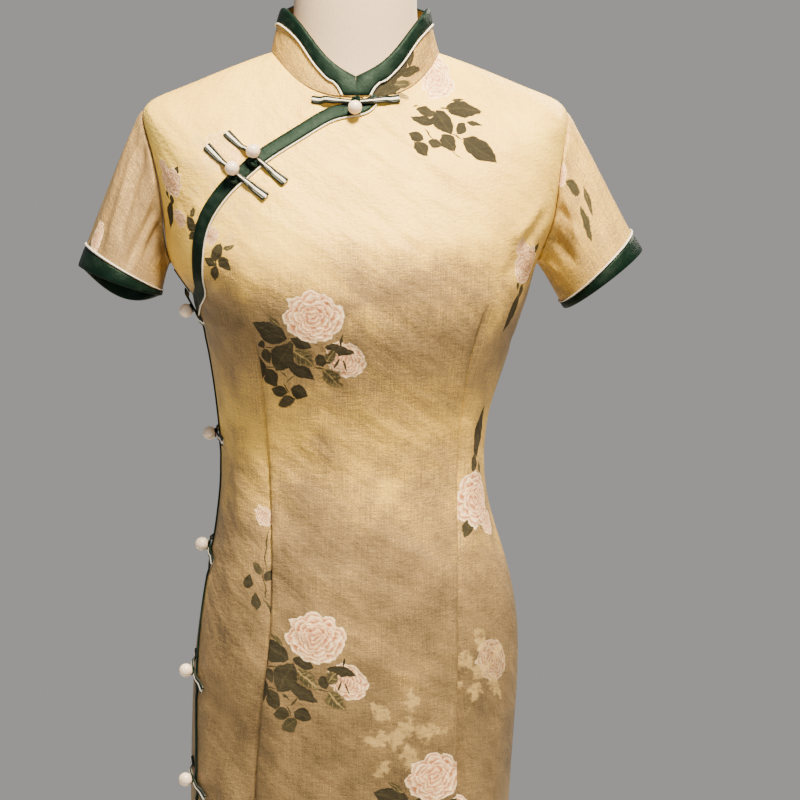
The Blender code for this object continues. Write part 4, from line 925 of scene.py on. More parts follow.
def leaf_paint(tree, vector, marks):
    """(mask, colour) of the printed leaves."""
    parts = add(tree, "SeparateXYZ", (nearest_mark(tree, vector, marks),))
    along = parts.outputs["X"]
    tone = add(tree, "Math", (parts.outputs["Z"], 1 / TONE_DEPTH), "MULTIPLY")
    across = add(tree, "Math", (parts.outputs["Y"],), "ABSOLUTE")
    # a blade, widest behind its middle; a ghost's edge is ragged
    blade = add(tree, "Math", (along, along), "MULTIPLY")
    blade = add(tree, "Math", (1.0, blade), "SUBTRACT")
    taper = add(tree, "Math", (along, -0.3, 1.0), "MULTIPLY_ADD")
    taper = add(tree, "Math", (taper, 0.3), "MAXIMUM")
    blade = add(tree, "Math", (blade, taper), "MULTIPLY")
    inside = add(tree, "Math", (blade, across), "SUBTRACT")
    blotch = add(tree, "TexNoise", {"Vector": vector, "Scale": 1 / 0.006, "Detail": 3.0})
    ragged = add(tree, "Math", (blotch, -0.5), "ADD")
    ragged = add(tree, "Math", (ragged, tone), "MULTIPLY")
    inside = add(tree, "Math", (ragged, 3.0, inside), "MULTIPLY_ADD")
    edge = add(tree, "Math", (tone, 0.5, 0.08), "MULTIPLY_ADD")
    mask = add(tree, "MapRange", {"Value": inside, "From Max": edge})
    # the midrib, and side veins that run forward from it
    slant = add(tree, "Math", (across, -0.45, along), "MULTIPLY_ADD")
    wave = add(tree, "Math", (slant, 19.0), "MULTIPLY")
    wave = add(tree, "Math", (wave,), "SINE")
    veins = add(tree, "MapRange", {"Value": wave, "From Min": 0.75, "To Max": 0.3})
    midrib = add(tree, "MapRange", {"Value": across, "From Min": 0.12, "From Max": 0.03, "To Max": 0.55})
    lines = add(tree, "Math", (veins, midrib), "MAXIMUM")
    rim = add(tree, "MapRange", {"Value": inside, "From Min": 0.3, "From Max": 0.0})
    shade = total(tree, tone, ((lines, 0.4, 0.0), (blotch, 0.5, 0.5), (rim, -0.2, 0.0)))
    colours = settings()[1]
    paint = add(tree, "ValToRGB", (shade,), stops=((0.0, colours.leaf), (0.5, colours.olive), *GHOST_TONES))
    fade = {"Value": tone, "From Min": 0.6, "To Min": 1.0, "To Max": 0.5}
    return add(tree, "Math", (mask, add(tree, "MapRange", fade)), "MULTIPLY"), paint


def rose_paint(tree, vector, marks):
    """(mask, colour, depth under the leaves) of the printed roses: rings of lobed petals."""
    own = nearest_mark(tree, vector, marks)
    under = add(tree, "SeparateXYZ", (own,)).outputs["Z"]
    flat = add(tree, "VectorMath", (own, (1.0, 1.0, 0.0)), "MULTIPLY")
    wander = add(tree, "TexNoise", {"Vector": flat, "Scale": 2.6}).outputs["Color"]
    wander = add(tree, "VectorMath", (wander, (0.5, 0.5, 0.5)), "SUBTRACT")
    flat = add(tree, "VectorMath", (wander, (0.42, 0.42, 0.0), flat), "MULTIPLY_ADD")
    parts = add(tree, "SeparateXYZ", (flat,))
    radius = add(tree, "VectorMath", (flat,), "LENGTH").outputs["Value"]
    angle = add(tree, "Math", (parts.outputs["Y"], parts.outputs["X"]), "ARCTAN2")
    shade, mask = None, None
    for petals, reach, notch, turn in ROSE_RINGS:
        wave = add(tree, "Math", (angle, petals / 2, turn), "MULTIPLY_ADD")
        wave = add(tree, "Math", (wave,), "SINE")
        wave = add(tree, "Math", (wave,), "ABSOLUTE")
        wave = add(tree, "Math", (wave, 0.55), "POWER")
        rim = add(tree, "Math", (wave, notch * reach, reach * (1 - notch)), "MULTIPLY_ADD")
        depth = add(tree, "Math", (rim, radius), "SUBTRACT")
        inside = add(tree, "MapRange", {"Value": depth, "From Max": 0.035})
        fall = {"Value": depth, "From Max": RING_DEPTH, "To Min": 1.0, "To Max": 0.12}
        light = add(tree, "Math", (wave, 0.2, add(tree, "MapRange", fall)), "MULTIPLY_ADD")
        if shade is None:
            shade, mask = light, inside
        else:
            shade = add(tree, "Mix", {0: inside, 2: shade, 3: light})
    streak = add(tree, "TexNoise", {"Vector": flat, "Scale": 7.0, "Detail": 4.0})
    shade = total(tree, shade, ((streak, 0.9, 0.55), (radius, 0.25, 0.5)))
    colours = settings()[1]
    paint = add(tree, "ValToRGB", (shade,), stops=((0.0, colours.blush), *PETAL_TONES, (1.0, colours.petal)))
    fade = {"Value": under, "From Min": 0.3, "From Max": 0.6, "To Min": 1.0, "To Max": 0.4}
    return add(tree, "Math", (mask, add(tree, "MapRange", fade)), "MULTIPLY"), paint, under


# ---- materials


def printed_satin(tree, shader, leaves, roses, wash_and_light=None):
    """Silk shantung, woven with slubbed weft, unevenly dyed gold to tan and printed with rose sprays; its
    tone also carries painted light and shade. wash_and_light is the tone of an even ground; without it the
    tone goes from tan at the hem to pale at the chest, painted light from the key light above with painted
    shade under the bust."""
    sizes, colours = settings()
    uv = add(tree, "UVMap", uv_map="cloth")
    # clouds of uneven dye, 9 cm and 3 cm across, which also paint the sheen and shade of the cloth's crinkles
    clouds = add(tree, "TexNoise", {"Vector": uv, "Scale": 1 / 0.09, "Detail": 4.0, "Roughness": 0.55})
    blots = add(tree, "TexNoise", {"Vector": uv, "Scale": 1 / 0.03, "Detail": 5.0, "Roughness": 0.6})
    # weft slubs 25 mm long and 1.1 mm high, fine warp lines, and the fine speckle of the threads, which in
    # the colour is raised to paint glints on the weave
    weft = add(tree, "VectorMath", (uv, (1 / 0.025, 1 / 0.0011, 1.0)), "MULTIPLY")
    slub = add(tree, "TexNoise", {"Vector": weft, "Scale": 1.0, "Detail": 3.0, "Roughness": 0.7})
    warp = add(tree, "VectorMath", (uv, (1 / 0.0012, 1 / 0.03, 1.0)), "MULTIPLY")
    lines = add(tree, "TexNoise", {"Vector": warp, "Scale": 1.0})
    grain_and_glint = add(tree, "TexNoise", {"Vector": uv, "Scale": 1 / 0.0011, "Roughness": 0.7})
    # without a ground tone, the tone follows the height up the panel: painted light on the chest under the
    # key light above, painted shade under the bust and on the lower body
    if wash_and_light is None:
        up = add(tree, "SeparateXYZ", (uv,)).outputs["Y"]
        height = add(tree, "Math", (clouds, 0.1, up), "MULTIPLY_ADD")
        run = add(tree, "MapRange", {"Value": height, "From Min": WASH_AND_LIGHT_SPAN[0], "From Max": WASH_AND_LIGHT_SPAN[1]})
        wash_and_light = add(tree, "ValToRGB", (run,), stops=[(at, (grey, grey, grey)) for at, grey in WASH_AND_LIGHT])
    tone = total(tree, wash_and_light, ((clouds, 0.62 * sizes.mottle, 0.5), (blots, 0.45 * sizes.mottle, 0.5)))
    # the threads' noises lighten and darken the tone: the yarns' own uneven tone, with the speckle of the
    # threads raised as painted glints
    for threads, weight in ((slub, 0.34), (lines, 0.3), (grain_and_glint, 0.85)):
        tone = total(tree, tone, ((threads, weight * sizes.slub, 0.5),))
    found = add(tree, "ValToRGB", (tone,), stops=[(at, getattr(colours, key)) for at, key in SATIN_TONES])
    # a hand-drawn waver of the print's edges
    waver = add(tree, "TexNoise", {"Vector": uv, "Scale": 1 / 0.011}).outputs["Color"]
    waver = add(tree, "VectorMath", (waver, (0.5, 0.5, 0.5)), "SUBTRACT")
    drawn = add(tree, "VectorMath", (waver, (0.006, 0.006, 0.0), uv), "MULTIPLY_ADD")
    if roses:
        bloom, paint, under = rose_paint(tree, drawn, roses)
        wear = add(tree, "MapRange", {"Value": grain_and_glint, "From Min": 0.28, "From Max": 0.48, "To Min": 0.86})
        bloom = add(tree, "Math", (bloom, wear), "MULTIPLY")
        found = add(tree, "Mix", {0: bloom, 6: found, 7: paint}, data_type="RGBA").outputs[2]
    leaf, paint = leaf_paint(tree, drawn, leaves)
    if roses:  # an upper rose hides the leaves below it
        above = add(tree, "Math", (under, 0.15), "LESS_THAN")
        hidden = add(tree, "Math", (above, bloom), "MULTIPLY")
        hidden = add(tree, "Math", (1.0, hidden), "SUBTRACT")
        leaf = add(tree, "Math", (leaf, hidden), "MULTIPLY")
    found = add(tree, "Mix", {0: leaf, 6: found, 7: paint}, data_type="RGBA").outputs[2]
    # the dark ink dulls the satin
    rough = total(tree, 0.46, ((slub, 0.22, 0.5), (grain_and_glint, 0.2, 0.5)))
    rough = add(tree, "Math", (leaf, 0.5, rough), "MULTIPLY_ADD")
    # soft slanting puckers 9 cm long, a pebbled crinkle of 4 mm, and slubs standing up from the weave
    slant = {"Vector": uv, "Scale": (0.09, 0.03, 1.0), "Rotation": (0.0, 0.0, math.radians(-38))}
    swell = add(tree, "Mapping", slant, vector_type="TEXTURE")
    swell = add(tree, "TexNoise", {"Vector": swell, "Scale": 1.0})
    bump = add(tree, "Bump", {"Strength": 0.8, "Distance": 6.5 * MM, "Height": swell})
    crinkle = add(tree, "VectorMath", (uv, (1 / 0.0042, 1 / 0.0034, 1.0)), "MULTIPLY")
    crinkle = add(tree, "TexNoise", {"Vector": crinkle, "Scale": 1.0, "Roughness": 0.6})
    bump = add(tree, "Bump", {"Strength": 0.7, "Distance": 1.0 * MM, "Height": crinkle, "Normal": bump})
    height = total(tree, 0.0, ((slub, 0.6, 0.5), (grain_and_glint, 0.5, 0.5), (lines, 0.3, 0.5)))
    bump = add(tree, "Bump", {"Strength": 0.7, "Distance": 0.35 * MM, "Height": height, "Normal": bump})
    plug(tree, shader, {"Base Color": found, "Roughness": rough, "Normal": bump, "IOR": 1.54})
    plug(tree, shader, {"Specular Tint": (1.0, 0.74, 0.36, 1)})


def bias_satin(tree, shader, code):
    """Green silk satin cut on the bias and folded: glossy along its threads, with slanting drag lines."""
    place = add(tree, "TexCoord").outputs["Object"]
    bias = {"Vector": place, "Scale": (0.003, 0.003, 0.0008), "Rotation": (0.0, 0.7, 0.0)}
    weft = add(tree, "Mapping", bias, vector_type="TEXTURE")
    threads = add(tree, "TexNoise", {"Vector": weft, "Scale": 1.0, "Detail": 3.0})
    drag = add(tree, "TexNoise", {"Vector": place, "Scale": 1 / 0.012, "Detail": 3.0})
    # the drag noise paints the drag lines' ridges lighter and their hollows darker, painted highlight and
    # shade that follow its bump; the threads add the satin's own uneven tone
    tone = total(tree, 0.5, ((threads, 0.25, 0.5), (drag, 1.2, 0.5)))
    dark = tuple(c * 0.55 for c in code)
    light = tuple(min(c * 1.5 + 0.01, 1.0) for c in code)
    paint = add(tree, "ValToRGB", (tone,), stops=((0.1, dark), (0.5, code), (0.9, light)))
    rough = total(tree, 0.5, ((threads, 0.2, 0.5),))
    height = total(tree, 0.0, ((threads, 0.4, 0.5), (drag, 1.2, 0.5)))
    bump = add(tree, "Bump", {"Strength": 0.8, "Distance": 0.8 * MM, "Height": height})
    plug(tree, shader, {"Base Color": paint, "Roughness": rough, "Normal": bump, "IOR": 1.54})
    plug(tree, shader, {"Specular IOR Level": 0.13, "Specular Tint": (0.5, 0.8, 0.68, 1)})


def frog_cord(tree, shader, code):
    """Two green satin rouleaux sewn down with a white one between them: U is the place across, -1 to 1."""
    uv = add(tree, "UVMap", uv_map="cloth")
    off = add(tree, "Math", (add(tree, "SeparateXYZ", (uv,)),), "ABSOLUTE")
    white = {"Value": off, "From Min": TAIL_WHITE + 0.03, "From Max": TAIL_WHITE - 0.03}
    inner = add(tree, "MapRange", white)
    threads = add(tree, "VectorMath", (uv, (3.0, 1 / 0.0006, 1.0)), "MULTIPLY")
    threads = add(tree, "TexNoise", {"Vector": threads, "Scale": 1.0})
    paints = {0: inner, 6: (*code, 1), 7: (*settings()[1].white, 1)}
    paint = add(tree, "Mix", paints, data_type="RGBA").outputs[2]
    shade = add(tree, "MapRange", {"Value": threads, "From Min": 0.3, "From Max": 0.7, "To Min": 0.82})
    shaded = add(tree, "VectorMath", {0: paint, "Scale": shade}, "SCALE")
    bump = add(tree, "Bump", {"Strength": 0.4, "Distance": 0.15 * MM, "Height": threads})
    plug(tree, shader, {"Base Color": shaded, "Roughness": 0.4, "Normal": bump, "IOR": 1.54})
    plug(tree, shader, {"Specular IOR Level": 0.3})


def piping_satin(tree, shader, code):
    """White satin rolled over a cord: a slight slanting twist and a soft gloss."""
    parts = add(tree, "SeparateXYZ", (add(tree, "UVMap", uv_map="cloth"),)).outputs
    twist = add(tree, "Math", (parts["Y"], 2 * math.pi / 0.0022, parts["X"]), "MULTIPLY_ADD")
    wave = add(tree, "Math", (twist,), "SINE")
    # the twist's hollows are painted darker, painted shade that follows its bump
    dark = tuple(c * 0.72 for c in code)
    tone = add(tree, "MapRange", {"Value": wave, "From Min": -1.0})
    paint = add(tree, "ValToRGB", (tone,), stops=((0.0, dark), (0.5, code)))
    bump = add(tree, "Bump", {"Strength": 0.3, "Distance": 0.15 * MM, "Height": wave})
    plug(tree, shader, {"Base Color": paint, "Roughness": 0.4, "Normal": bump, "IOR": 1.54})
    plug(tree, shader, {"Specular IOR Level": 0.3})


def pearl_button(tree, shader, code):
    """A turned and polished shell-white bead: creamy, a little cloudy and softly lit through."""
    place = add(tree, "TexCoord").outputs["Object"]
    cloud = add(tree, "TexNoise", {"Vector": place, "Scale": 1 / 0.006, "Detail": 3.0})
    dim = tuple(c * 0.78 for c in code)
    paint = add(tree, "ValToRGB", (cloud,), stops=((0.3, dim), (0.65, code)))
    plug(tree, shader, {"Base Color": paint, "Roughness": 0.28, "IOR": 1.53})
    plug(tree, shader, {"Subsurface Weight": 0.25, "Subsurface Scale": 1.5 * MM})
    plug(tree, shader, {"Coat Weight": 0.2, "Coat Roughness": 0.12})


def form_linen(tree, shader, code):
    """Plain-woven linen stretched over the form: 0.9 mm threads, a few thicker ones, matt."""
    uv = add(tree, "UVMap", uv_map="cloth")
    parts = add(tree, "SeparateXYZ", (uv,))
    waves = []
    for axis in ("X", "Y"):
        turn = add(tree, "Math", (parts.outputs[axis], 2 * math.pi / 0.0018), "MULTIPLY")
        waves.append(add(tree, "Math", (turn,), "SINE"))
    weave = add(tree, "Math", waves, "MULTIPLY")
    uneven = add(tree, "TexNoise", {"Vector": uv, "Scale": 1 / 0.004, "Detail": 4.0})
    tone = total(tree, 0.5, ((weave, 0.12, 0.0), (uneven, 0.7, 0.5)))
    dark = tuple(c * 0.8 for c in code)
    paint = add(tree, "ValToRGB", (tone,), stops=((0.2, dark), (0.7, code)))
    height = total(tree, 0.0, ((weave, 0.5, 0.0), (uneven, 0.8, 0.5)))
    bump = add(tree, "Bump", {"Strength": 0.35, "Distance": 0.25 * MM, "Height": height})
    plug(tree, shader, {"Base Color": paint, "Roughness": 0.85, "Normal": bump, "Sheen Weight": 0.2})


def stand_enamel(tree, shader, code):
    """Baked black enamel on steel: faint orange peel, and slightly duller patches from handling."""
    place = add(tree, "TexCoord").outputs["Object"]
    peel = add(tree, "TexNoise", {"Vector": place, "Scale": 1 / 0.003})
    smear = add(tree, "TexNoise", {"Vector": place, "Scale": 1 / 0.05, "Detail": 4.0})
    rough = total(tree, 0.34, ((smear, 0.3, 0.5),))
    bump = add(tree, "Bump", {"Strength": 0.15, "Distance": 0.1 * MM, "Height": peel})
    plug(tree, shader, {"Base Color": (*code, 1), "Roughness": rough, "Normal": bump})
    plug(tree, shader, {"Coat Weight": 0.4, "Coat Roughness": 0.2})


def stage_paint(tree, shader, code):
    """Matt emulsion on the studio's floor."""
    place = add(tree, "TexCoord").outputs["Object"]
    patch = add(tree, "TexNoise", {"Vector": place, "Scale": 1 / 0.5, "Detail": 3.0})
    dim = tuple(c * 0.93 for c in code)
    paint = add(tree, "ValToRGB", (patch,), stops=((0.35, dim), (0.65, code)))
    plug(tree, shader, {"Base Color": paint, "Roughness": 0.9})


# Each material's name, maker and colour.
FINISHES = {
    "green_satin": ("Green bias satin", bias_satin, "green"),
    "frog_cord": ("Frog rouleaux", frog_cord, "green"),
    "white_piping": ("White satin piping", piping_satin, "white"),
    "pearl": ("Pearl button", pearl_button, "pearl"),
    "linen": ("Linen cover", form_linen, "linen"),
    "black_enamel": ("Black enamel", stand_enamel, "enamel"),
    "stage": ("Studio paint", stage_paint, "stage"),
}


def finish(key):
    """The material with this key."""
    name, paint, code = FINISHES[key]
    return ready(key, lambda: new_material(name, paint, getattr(settings()[1], code)))


# ---- meshes


def finish_piece(piece, slot, material=None, node=None):
    """Gives a piece its material, by default its slot's finish, and its body; it stands for the node that its
    name begins with.
    """
    piece.data.materials.append(material or finish(slot))
    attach(piece, "root")
    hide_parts(node or piece.name.rpartition("_")[0])
    return piece


def object_of(name, verts, faces, corners_uv, slot, material=None, node=None):
    """A smooth piece with the UV map "cloth", its faces turned outwards."""
    mesh = bpy.data.meshes.new(name)
    mesh.from_pydata(verts.tolist(), [], faces)
    layer = mesh.uv_layers.new(name="cloth")
    layer.data.foreach_set("uv", np.asarray(corners_uv, np.float32).ravel())
    work = bmesh.new()
    work.from_mesh(mesh)
    bmesh.ops.recalc_face_normals(work, faces=work.faces)
    work.to_mesh(mesh)
    work.free()
    mesh.shade_smooth()
    mesh.set_sharp_from_angle(angle=math.radians(50))
    made = bpy.data.objects.new(name, mesh)
    bpy.context.scene.collection.objects.link(made)
    return finish_piece(made, slot, material, node)


def quads(grid):
    """The corners of each quad of a grid, with a for its upper left."""
    return np.stack([grid[:-1, :-1], grid[:-1, 1:], grid[1:, 1:], grid[1:, :-1]], 2)


def wall_object(name, inner, outer, uv, satin, closed=False, taken=None):
    """A wall of cloth between two grids of points, rows down and columns along; closed joins last to first.
    uv has one more column when closed. taken is the cloth lost in darts, at each row and face column."""
    rows, cols = inner.shape[:2]
    index = np.arange(rows * cols).reshape(rows, cols)
    if closed:
        index = np.concatenate([index, index[:, :1]], 1)
    shift = rows * cols
    wall_uv = quads(uv).copy()
    if taken is not None:
        wall_uv[..., :2, 0] += taken[:-1, :, None]
        wall_uv[..., 2:, 0] += taken[1:, :, None]
    wall_uv = wall_uv.reshape(-1, 4, 2)
    wall = quads(index).reshape(-1, 4)
    faces = [wall, wall[:, ::-1] + shift]
    corners = [wall_uv, wall_uv[:, ::-1]]
    rims = [(index[0], uv[0]), (index[-1], uv[-1])]
    if not closed:
        rims += [(index[:, 0], uv[:, 0]), (index[:, -1], uv[:, -1])]
    for line, line_uv in rims:
        faces.append(np.stack([line[:-1], line[1:], line[1:] + shift, line[:-1] + shift], -1))
        corners.append(np.stack([line_uv[:-1], line_uv[1:], line_uv[1:], line_uv[:-1]], 1))
    verts = np.concatenate([outer.reshape(-1, 3), inner.reshape(-1, 3)])
    faces = np.concatenate(faces).tolist()
    return object_of(name, verts, faces, np.concatenate(corners), "gold_satin", satin)


def bar_object(name, sections, across, slot, material=None, closed=False, node=None):
    """A bar through sections of equal point count, capped at its ends unless closed.
    across gives each corner's U; V is the distance along the bar."""
    count, corners = sections.shape[:2]
    index = np.arange(count * corners).reshape(count, corners)
    index = np.concatenate([index, index[:, :1]], 1)
    centres = sections.mean(1)
    run = run_of(centres)
    if closed:
        index = np.concatenate([index, index[:1]], 0)
        run = np.append(run, run[-1] + np.linalg.norm(centres[-1] - centres[0]))
    uv = np.stack(np.broadcast_arrays(np.append(across, across[0])[None], run[:, None]), -1)
    faces = quads(index).reshape(-1, 4).tolist()
    corner_uv = [tuple(c) for c in quads(uv).reshape(-1, 2)]
    if not closed:
        for row, at in ((index[0, :-1][::-1], 0), (index[-1, :-1], -1)):
            faces.append(row.tolist())
            corner_uv += [(0.0, run[at])] * corners
    return object_of(name, sections.reshape(-1, 3), faces, corner_uv, slot, material, node)


CORD_TURNS = np.linspace(0, 2 * math.pi, 11)[:-1]  # the corners round a piping cord


# ---- panels


def panel_rows(first, last):
    """Values of v for a panel's rows: close together at the neck and at the ends of the armhole."""
    neck = TIP_V * np.linspace(0, 1, 34)[:-1] ** 1.5
    arm = TIP_V + (UNDERARM_V - TIP_V) * (1 - np.cos(math.pi * np.linspace(0, 1, 42))) / 2
    below = np.arange(UNDERARM_V + 4.5 * MM, HEM_V - 2 * MM, 5 * MM)
    rows = np.concatenate([neck, arm, below, [LAPEL_END_V, BAND_END_V, HEM_V]])
    rows = np.unique(np.round(rows, 7))
    return rows[(rows >= first - 1e-9) & (rows <= last + 1e-9)]


def row_columns(knots, steps):
    """Places from knot to knot, each stretch cut into its steps."""
    stretches = [np.linspace(a, b, n + 1)[1:] for a, b, n in zip(knots, knots[1:], steps)]
    return np.concatenate([[knots[0]], *stretches])


def dart_columns(panel, v, low, high):
    """A row's columns on the darts, close together at each line; above a dart they drift to even shares."""
    knots = []
    order = ("right", "left") if panel == "front" else ("left", "right")
    for side, place in zip(order, DART_SHARES[panel]):
        (line, top, _), _ = DART_LINES[side, panel]
        on = float(line(max(v, top)))
        if panel == "back":
            on = -2 - on
        free = low + (high - low) * place
        middle = free + (on - free) * float(ease((v - top) / DART_DRIFT + 1))
        knots += [middle + off * MM / DART_PER_G for off in DART_OFFS]
    return knots


def seam_knots(v, edge):
    """Columns close to a sewn edge at |g| = edge, from the inside out."""
    per_g = float(quarter_length(v, 1.0))
    return [edge - off * MM / per_g for off in SEAM_OFFS] + [edge]


def flattened(points):
    """(U, V) of a panel's points on its flattened cloth, in metres: V is 0 at the top and falls."""
    across = np.linalg.norm(np.diff(points[..., :2], axis=1), axis=-1)
    u = np.concatenate([np.zeros((len(points), 1)), np.cumsum(across, 1)], 1)
    middle = np.argmin(np.abs(points[..., 0]), 1)
    rows = np.arange(len(points))
    sign = np.sign(points[-1, -1, 0] - points[-1, 0, 0])
    u = sign * (u - u[rows, middle][:, None]) + points[rows, middle, 0][:, None]
    step = np.linalg.norm(np.diff(points, axis=0), axis=-1)
    down = np.sqrt(np.maximum(step**2 - np.diff(u, axis=0) ** 2, (0.2 * step) ** 2))
    v = -np.concatenate([np.zeros((1, points.shape[1])), np.cumsum(down, 0)], 0)
    return np.stack([u, v], -1)


def taken_in(panel, g, rows):
    """Cloth lost in a panel's darts between its middle and each face column: a shift of U at each row."""
    taken = np.zeros((len(rows), g.shape[1] - 1))
    turn = g if panel == "front" else -2 - g
    centre = (turn[:, :-1] + turn[:, 1:]) / 2
    for (side, on), ((line, top, bottom), wide) in DART_LINES.items():
        if on == panel:
            sign = 1 if side == "left" else -1
            part = np.clip((rows - top) / (bottom - top), 0, 1)
            lost = (wide * MM * np.sin(math.pi * part))[:, None]
            taken += np.where(sign * centre > sign * line(rows)[:, None], sign * lost, 0)
    return taken


def hem_ridge(points):
    """The hem's turned-up cloth stands out faintly, with a shallow groove where it is caught down."""
    off = points[..., 2] - HEM - HEM_TURN
    return 0.35 * MM * ease(-off / (4 * MM)) + line_relief(off, HEM_RELIEF)


def front_relief(points, g, v):
    """The lapped front's height over the body surface."""
    return front_height(points, g, v) + hem_ridge(points)


def under_relief(points, g, v):
    """The folds of the piece under the lapel."""
    return fold_height(points, "front")


def back_relief(points, g, v):
    """The back's folds, and the front's where the back runs on under it."""
    behind = fold_height(points, "back") + dart_height(g, v, "back")
    return np.where(g < -1, behind, fold_height(points, "front")) + hem_ridge(points)


def panel(node, side, last, knots, steps, relief, sewn, with_pieces=()):
    """A panel of printed satin on the body's surface down to its last v.
    knots gives each row's knots, and sewn is the column of the edge that is sewn. with_pieces is not used."""
    rows = panel_rows(0, last)
    g, v = np.array([row_columns(knots(row), steps) for row in rows]), rows[:, None]
    points, normals = skin(g, v), outward(skin, g, v)
    uv, taken = flattened(points), taken_in(side, g, rows)
    uv[..., 1] -= uv[np.argmin(np.abs(rows - BUST_V)), :, 1]  # V is 0 along the bust row
    satin = new_material(f"Printed shantung {side}", printed_satin, *marks_of(side, uv, points, taken))
    base = relief(points, g, v) + line_relief(uv[..., 0] - uv[:, sewn, 0][:, None], SEAM_RELIEF)
    inner, outer = (points + normals * (base + h)[..., None] for h in (0, settings()[0].wall))
    made = wall_object(f"{node}_cloth", inner, outer, uv, satin, taken=taken)


def edge_knots(v):
    """Columns along the lapped front: its edge, its band, its piping and the edge of what lies under it."""
    return [float(line(v)) for line in EDGE_LINES]


def front_knots(v):
    """From the lapped edge on the right to the seam on the left."""
    edges, sewn = edge_knots(v), seam_knots(v, float(left_edge(v, ARMHOLE_FRONT)))
    return edges + dart_columns("front", v, edges[0], sewn[-1]) + sewn


def under_knots(v):
    """From the right seam to its edge under the lap."""
    sewn = [-g for g in seam_knots(v, float(left_edge(v, ARMHOLE_FRONT)))[::-1]]
    first, *edges = edge_knots(v)
    return [*sewn, max(first, sewn[-1] + 0.01), *edges]


def back_knots(v):
    """From the left seam round to the right one, or to its edge under the lap."""
    edge = float(left_edge(v, ARMHOLE_BACK))
    sewn = seam_knots(v, edge)
    low = [-2 - g for g in sewn[::-1]]
    # below the lapel the back runs on under the front
    ends = edge_knots(v) if v > LAPEL_END_V + 1e-6 else [-2 + g for g in sewn[1:]]
    return low + dart_columns("back", v, low[0], min(-2 + edge, -1.0)) + ends


# ---- bindings along the lapped front


def band_section(width):
    """A folded strip over an edge: (place, shift, height) round its section, plump and with soft corners."""
    top = GAP + BAND_THICK
    out = -GAP - BAND_THICK
    return (
        ("edge", out * 0.8, GAP - LAP_LIFT),
        ("edge", -GAP, GAP - LAP_LIFT),
        ("edge", -GAP, GAP),
        ("line", 0, GAP),
        ("line", 0.1 * MM, GAP + 0.45 * BAND_THICK),
        ("line", -0.35 * MM, top - 0.12 * MM),
        ("line", -width * 0.16, top + 0.22 * MM),
        ("line", -width * 0.5, top + 0.34 * MM),
        ("edge", width * 0.16, top + 0.24 * MM),
        ("edge", out * 0.55, top - 0.1 * MM),
        ("edge", out, top - 0.55 * BAND_THICK),
    )


def edge_sections(rows, line, profile):
    """Sections of a band on the lapped front's edge: profile holds ("edge" or "line", shift, height)."""
    into, sections = inward(rows), []
    for place, shift, height in profile:
        g = opening_edge(rows) if place == "edge" else line(rows)
        points, normals = skin(g, rows), outward(skin, g, rows)
        lift = front_height(points, g, rows) + settings()[0].wall + height
        sections.append(points + normals * lift[:, None] + into * shift)
    return np.stack(sections, 1)


# ---- sleeves


def armhole(side, t):
    """(point, normal) on the armhole's edge: t 0 to 1 down the front, 1 to 2 up the back."""
    sign = -1 if side == "right" else 1
    t = np.asarray(t, float)
    down = np.where(t <= 1, t, 2 - t)
    v = TIP_V + (UNDERARM_V - TIP_V) * (1 - np.cos(math.pi * down)) / 2
    turn = sign * np.where(t <= 1, left_edge(v, ARMHOLE_FRONT), left_edge(v, ARMHOLE_BACK))
    g = np.where(t <= 1, turn, -2 - turn)
    return skin(g, v), outward(skin, g, v)


def sleeve_surface(side, wall):
    """(surface, facing) of the sleeve's middle: t runs round it, w from the armhole, 0, to the hem, 1."""
    centre, half_across, half_deep, droop, front_dip, back_dip = SLEEVES[side]
    sign = -1.0 if side == "right" else 1.0
    droop = math.radians(droop)
    across = np.array([sign * math.cos(droop), 0, math.sin(droop)])  # from the hem's inner to its outer side
    axis = unit(np.array([sign * math.sin(droop), -0.1, -math.cos(droop)]))

    def at(t, w):
        t, w = np.broadcast_arrays(np.asarray(t, float), np.asarray(w, float))
        start, normal = armhole(side, t % 2)
        up, ahead = np.cos(math.pi * t), np.sin(math.pi * t)  # 1 at the ring's top and at its front
        dip = np.where(ahead > 0, front_dip, back_dip) * ahead**2
        ring = np.array(centre) + up[..., None] * across * half_across
        ring = (ring + np.stack([0 * dip, -ahead * half_deep, -dip], -1)) * MM
        # the cloth leaves the armhole sideways, and downwards over the shoulder
        out = np.stack([0 * up + sign, 0 * up, -SLEEVE_SLOPE * (1 + up)], -1)
        out = unit(out + 0.2 * normal)
        start = start + normal * (wall / 2) + out * SLEEVE_OUT
        start[..., 2] += SLEEVE_UP * (1 - up) / 2
        long = np.linalg.norm(ring - start, axis=-1, keepdims=True)
        w = w[..., None]
        near = (2 * w**3 - 3 * w**2 + 1) * start + (w**3 - 2 * w**2 + w) * out * long * SLEEVE_LEAVE
        return near + (3 * w**2 - 2 * w**3) * ring + (w**3 - w**2) * axis * long * SLEEVE_ARRIVE

    return at, sign


def sleeve_relief(side, t, w, girth, long):
    """Creases down the sleeve, the sunk armhole seam and a slight fullness at its head."""
    high = line_relief(w * long, SLEEVE_RELIEF)
    for t0, w0, t1, w1, half, height in SLEEVE_CREASES[side]:
        along = (w - w0) / (w1 - w0)
        off = ((t - t0 - (t1 - t0) * along + 1) % 2 - 1) * girth / 2
        high = high + height * MM * hump(off, half * MM) * ease(along / 0.18) * ease((1 - along) / 0.4)
    return high * settings()[0].crease


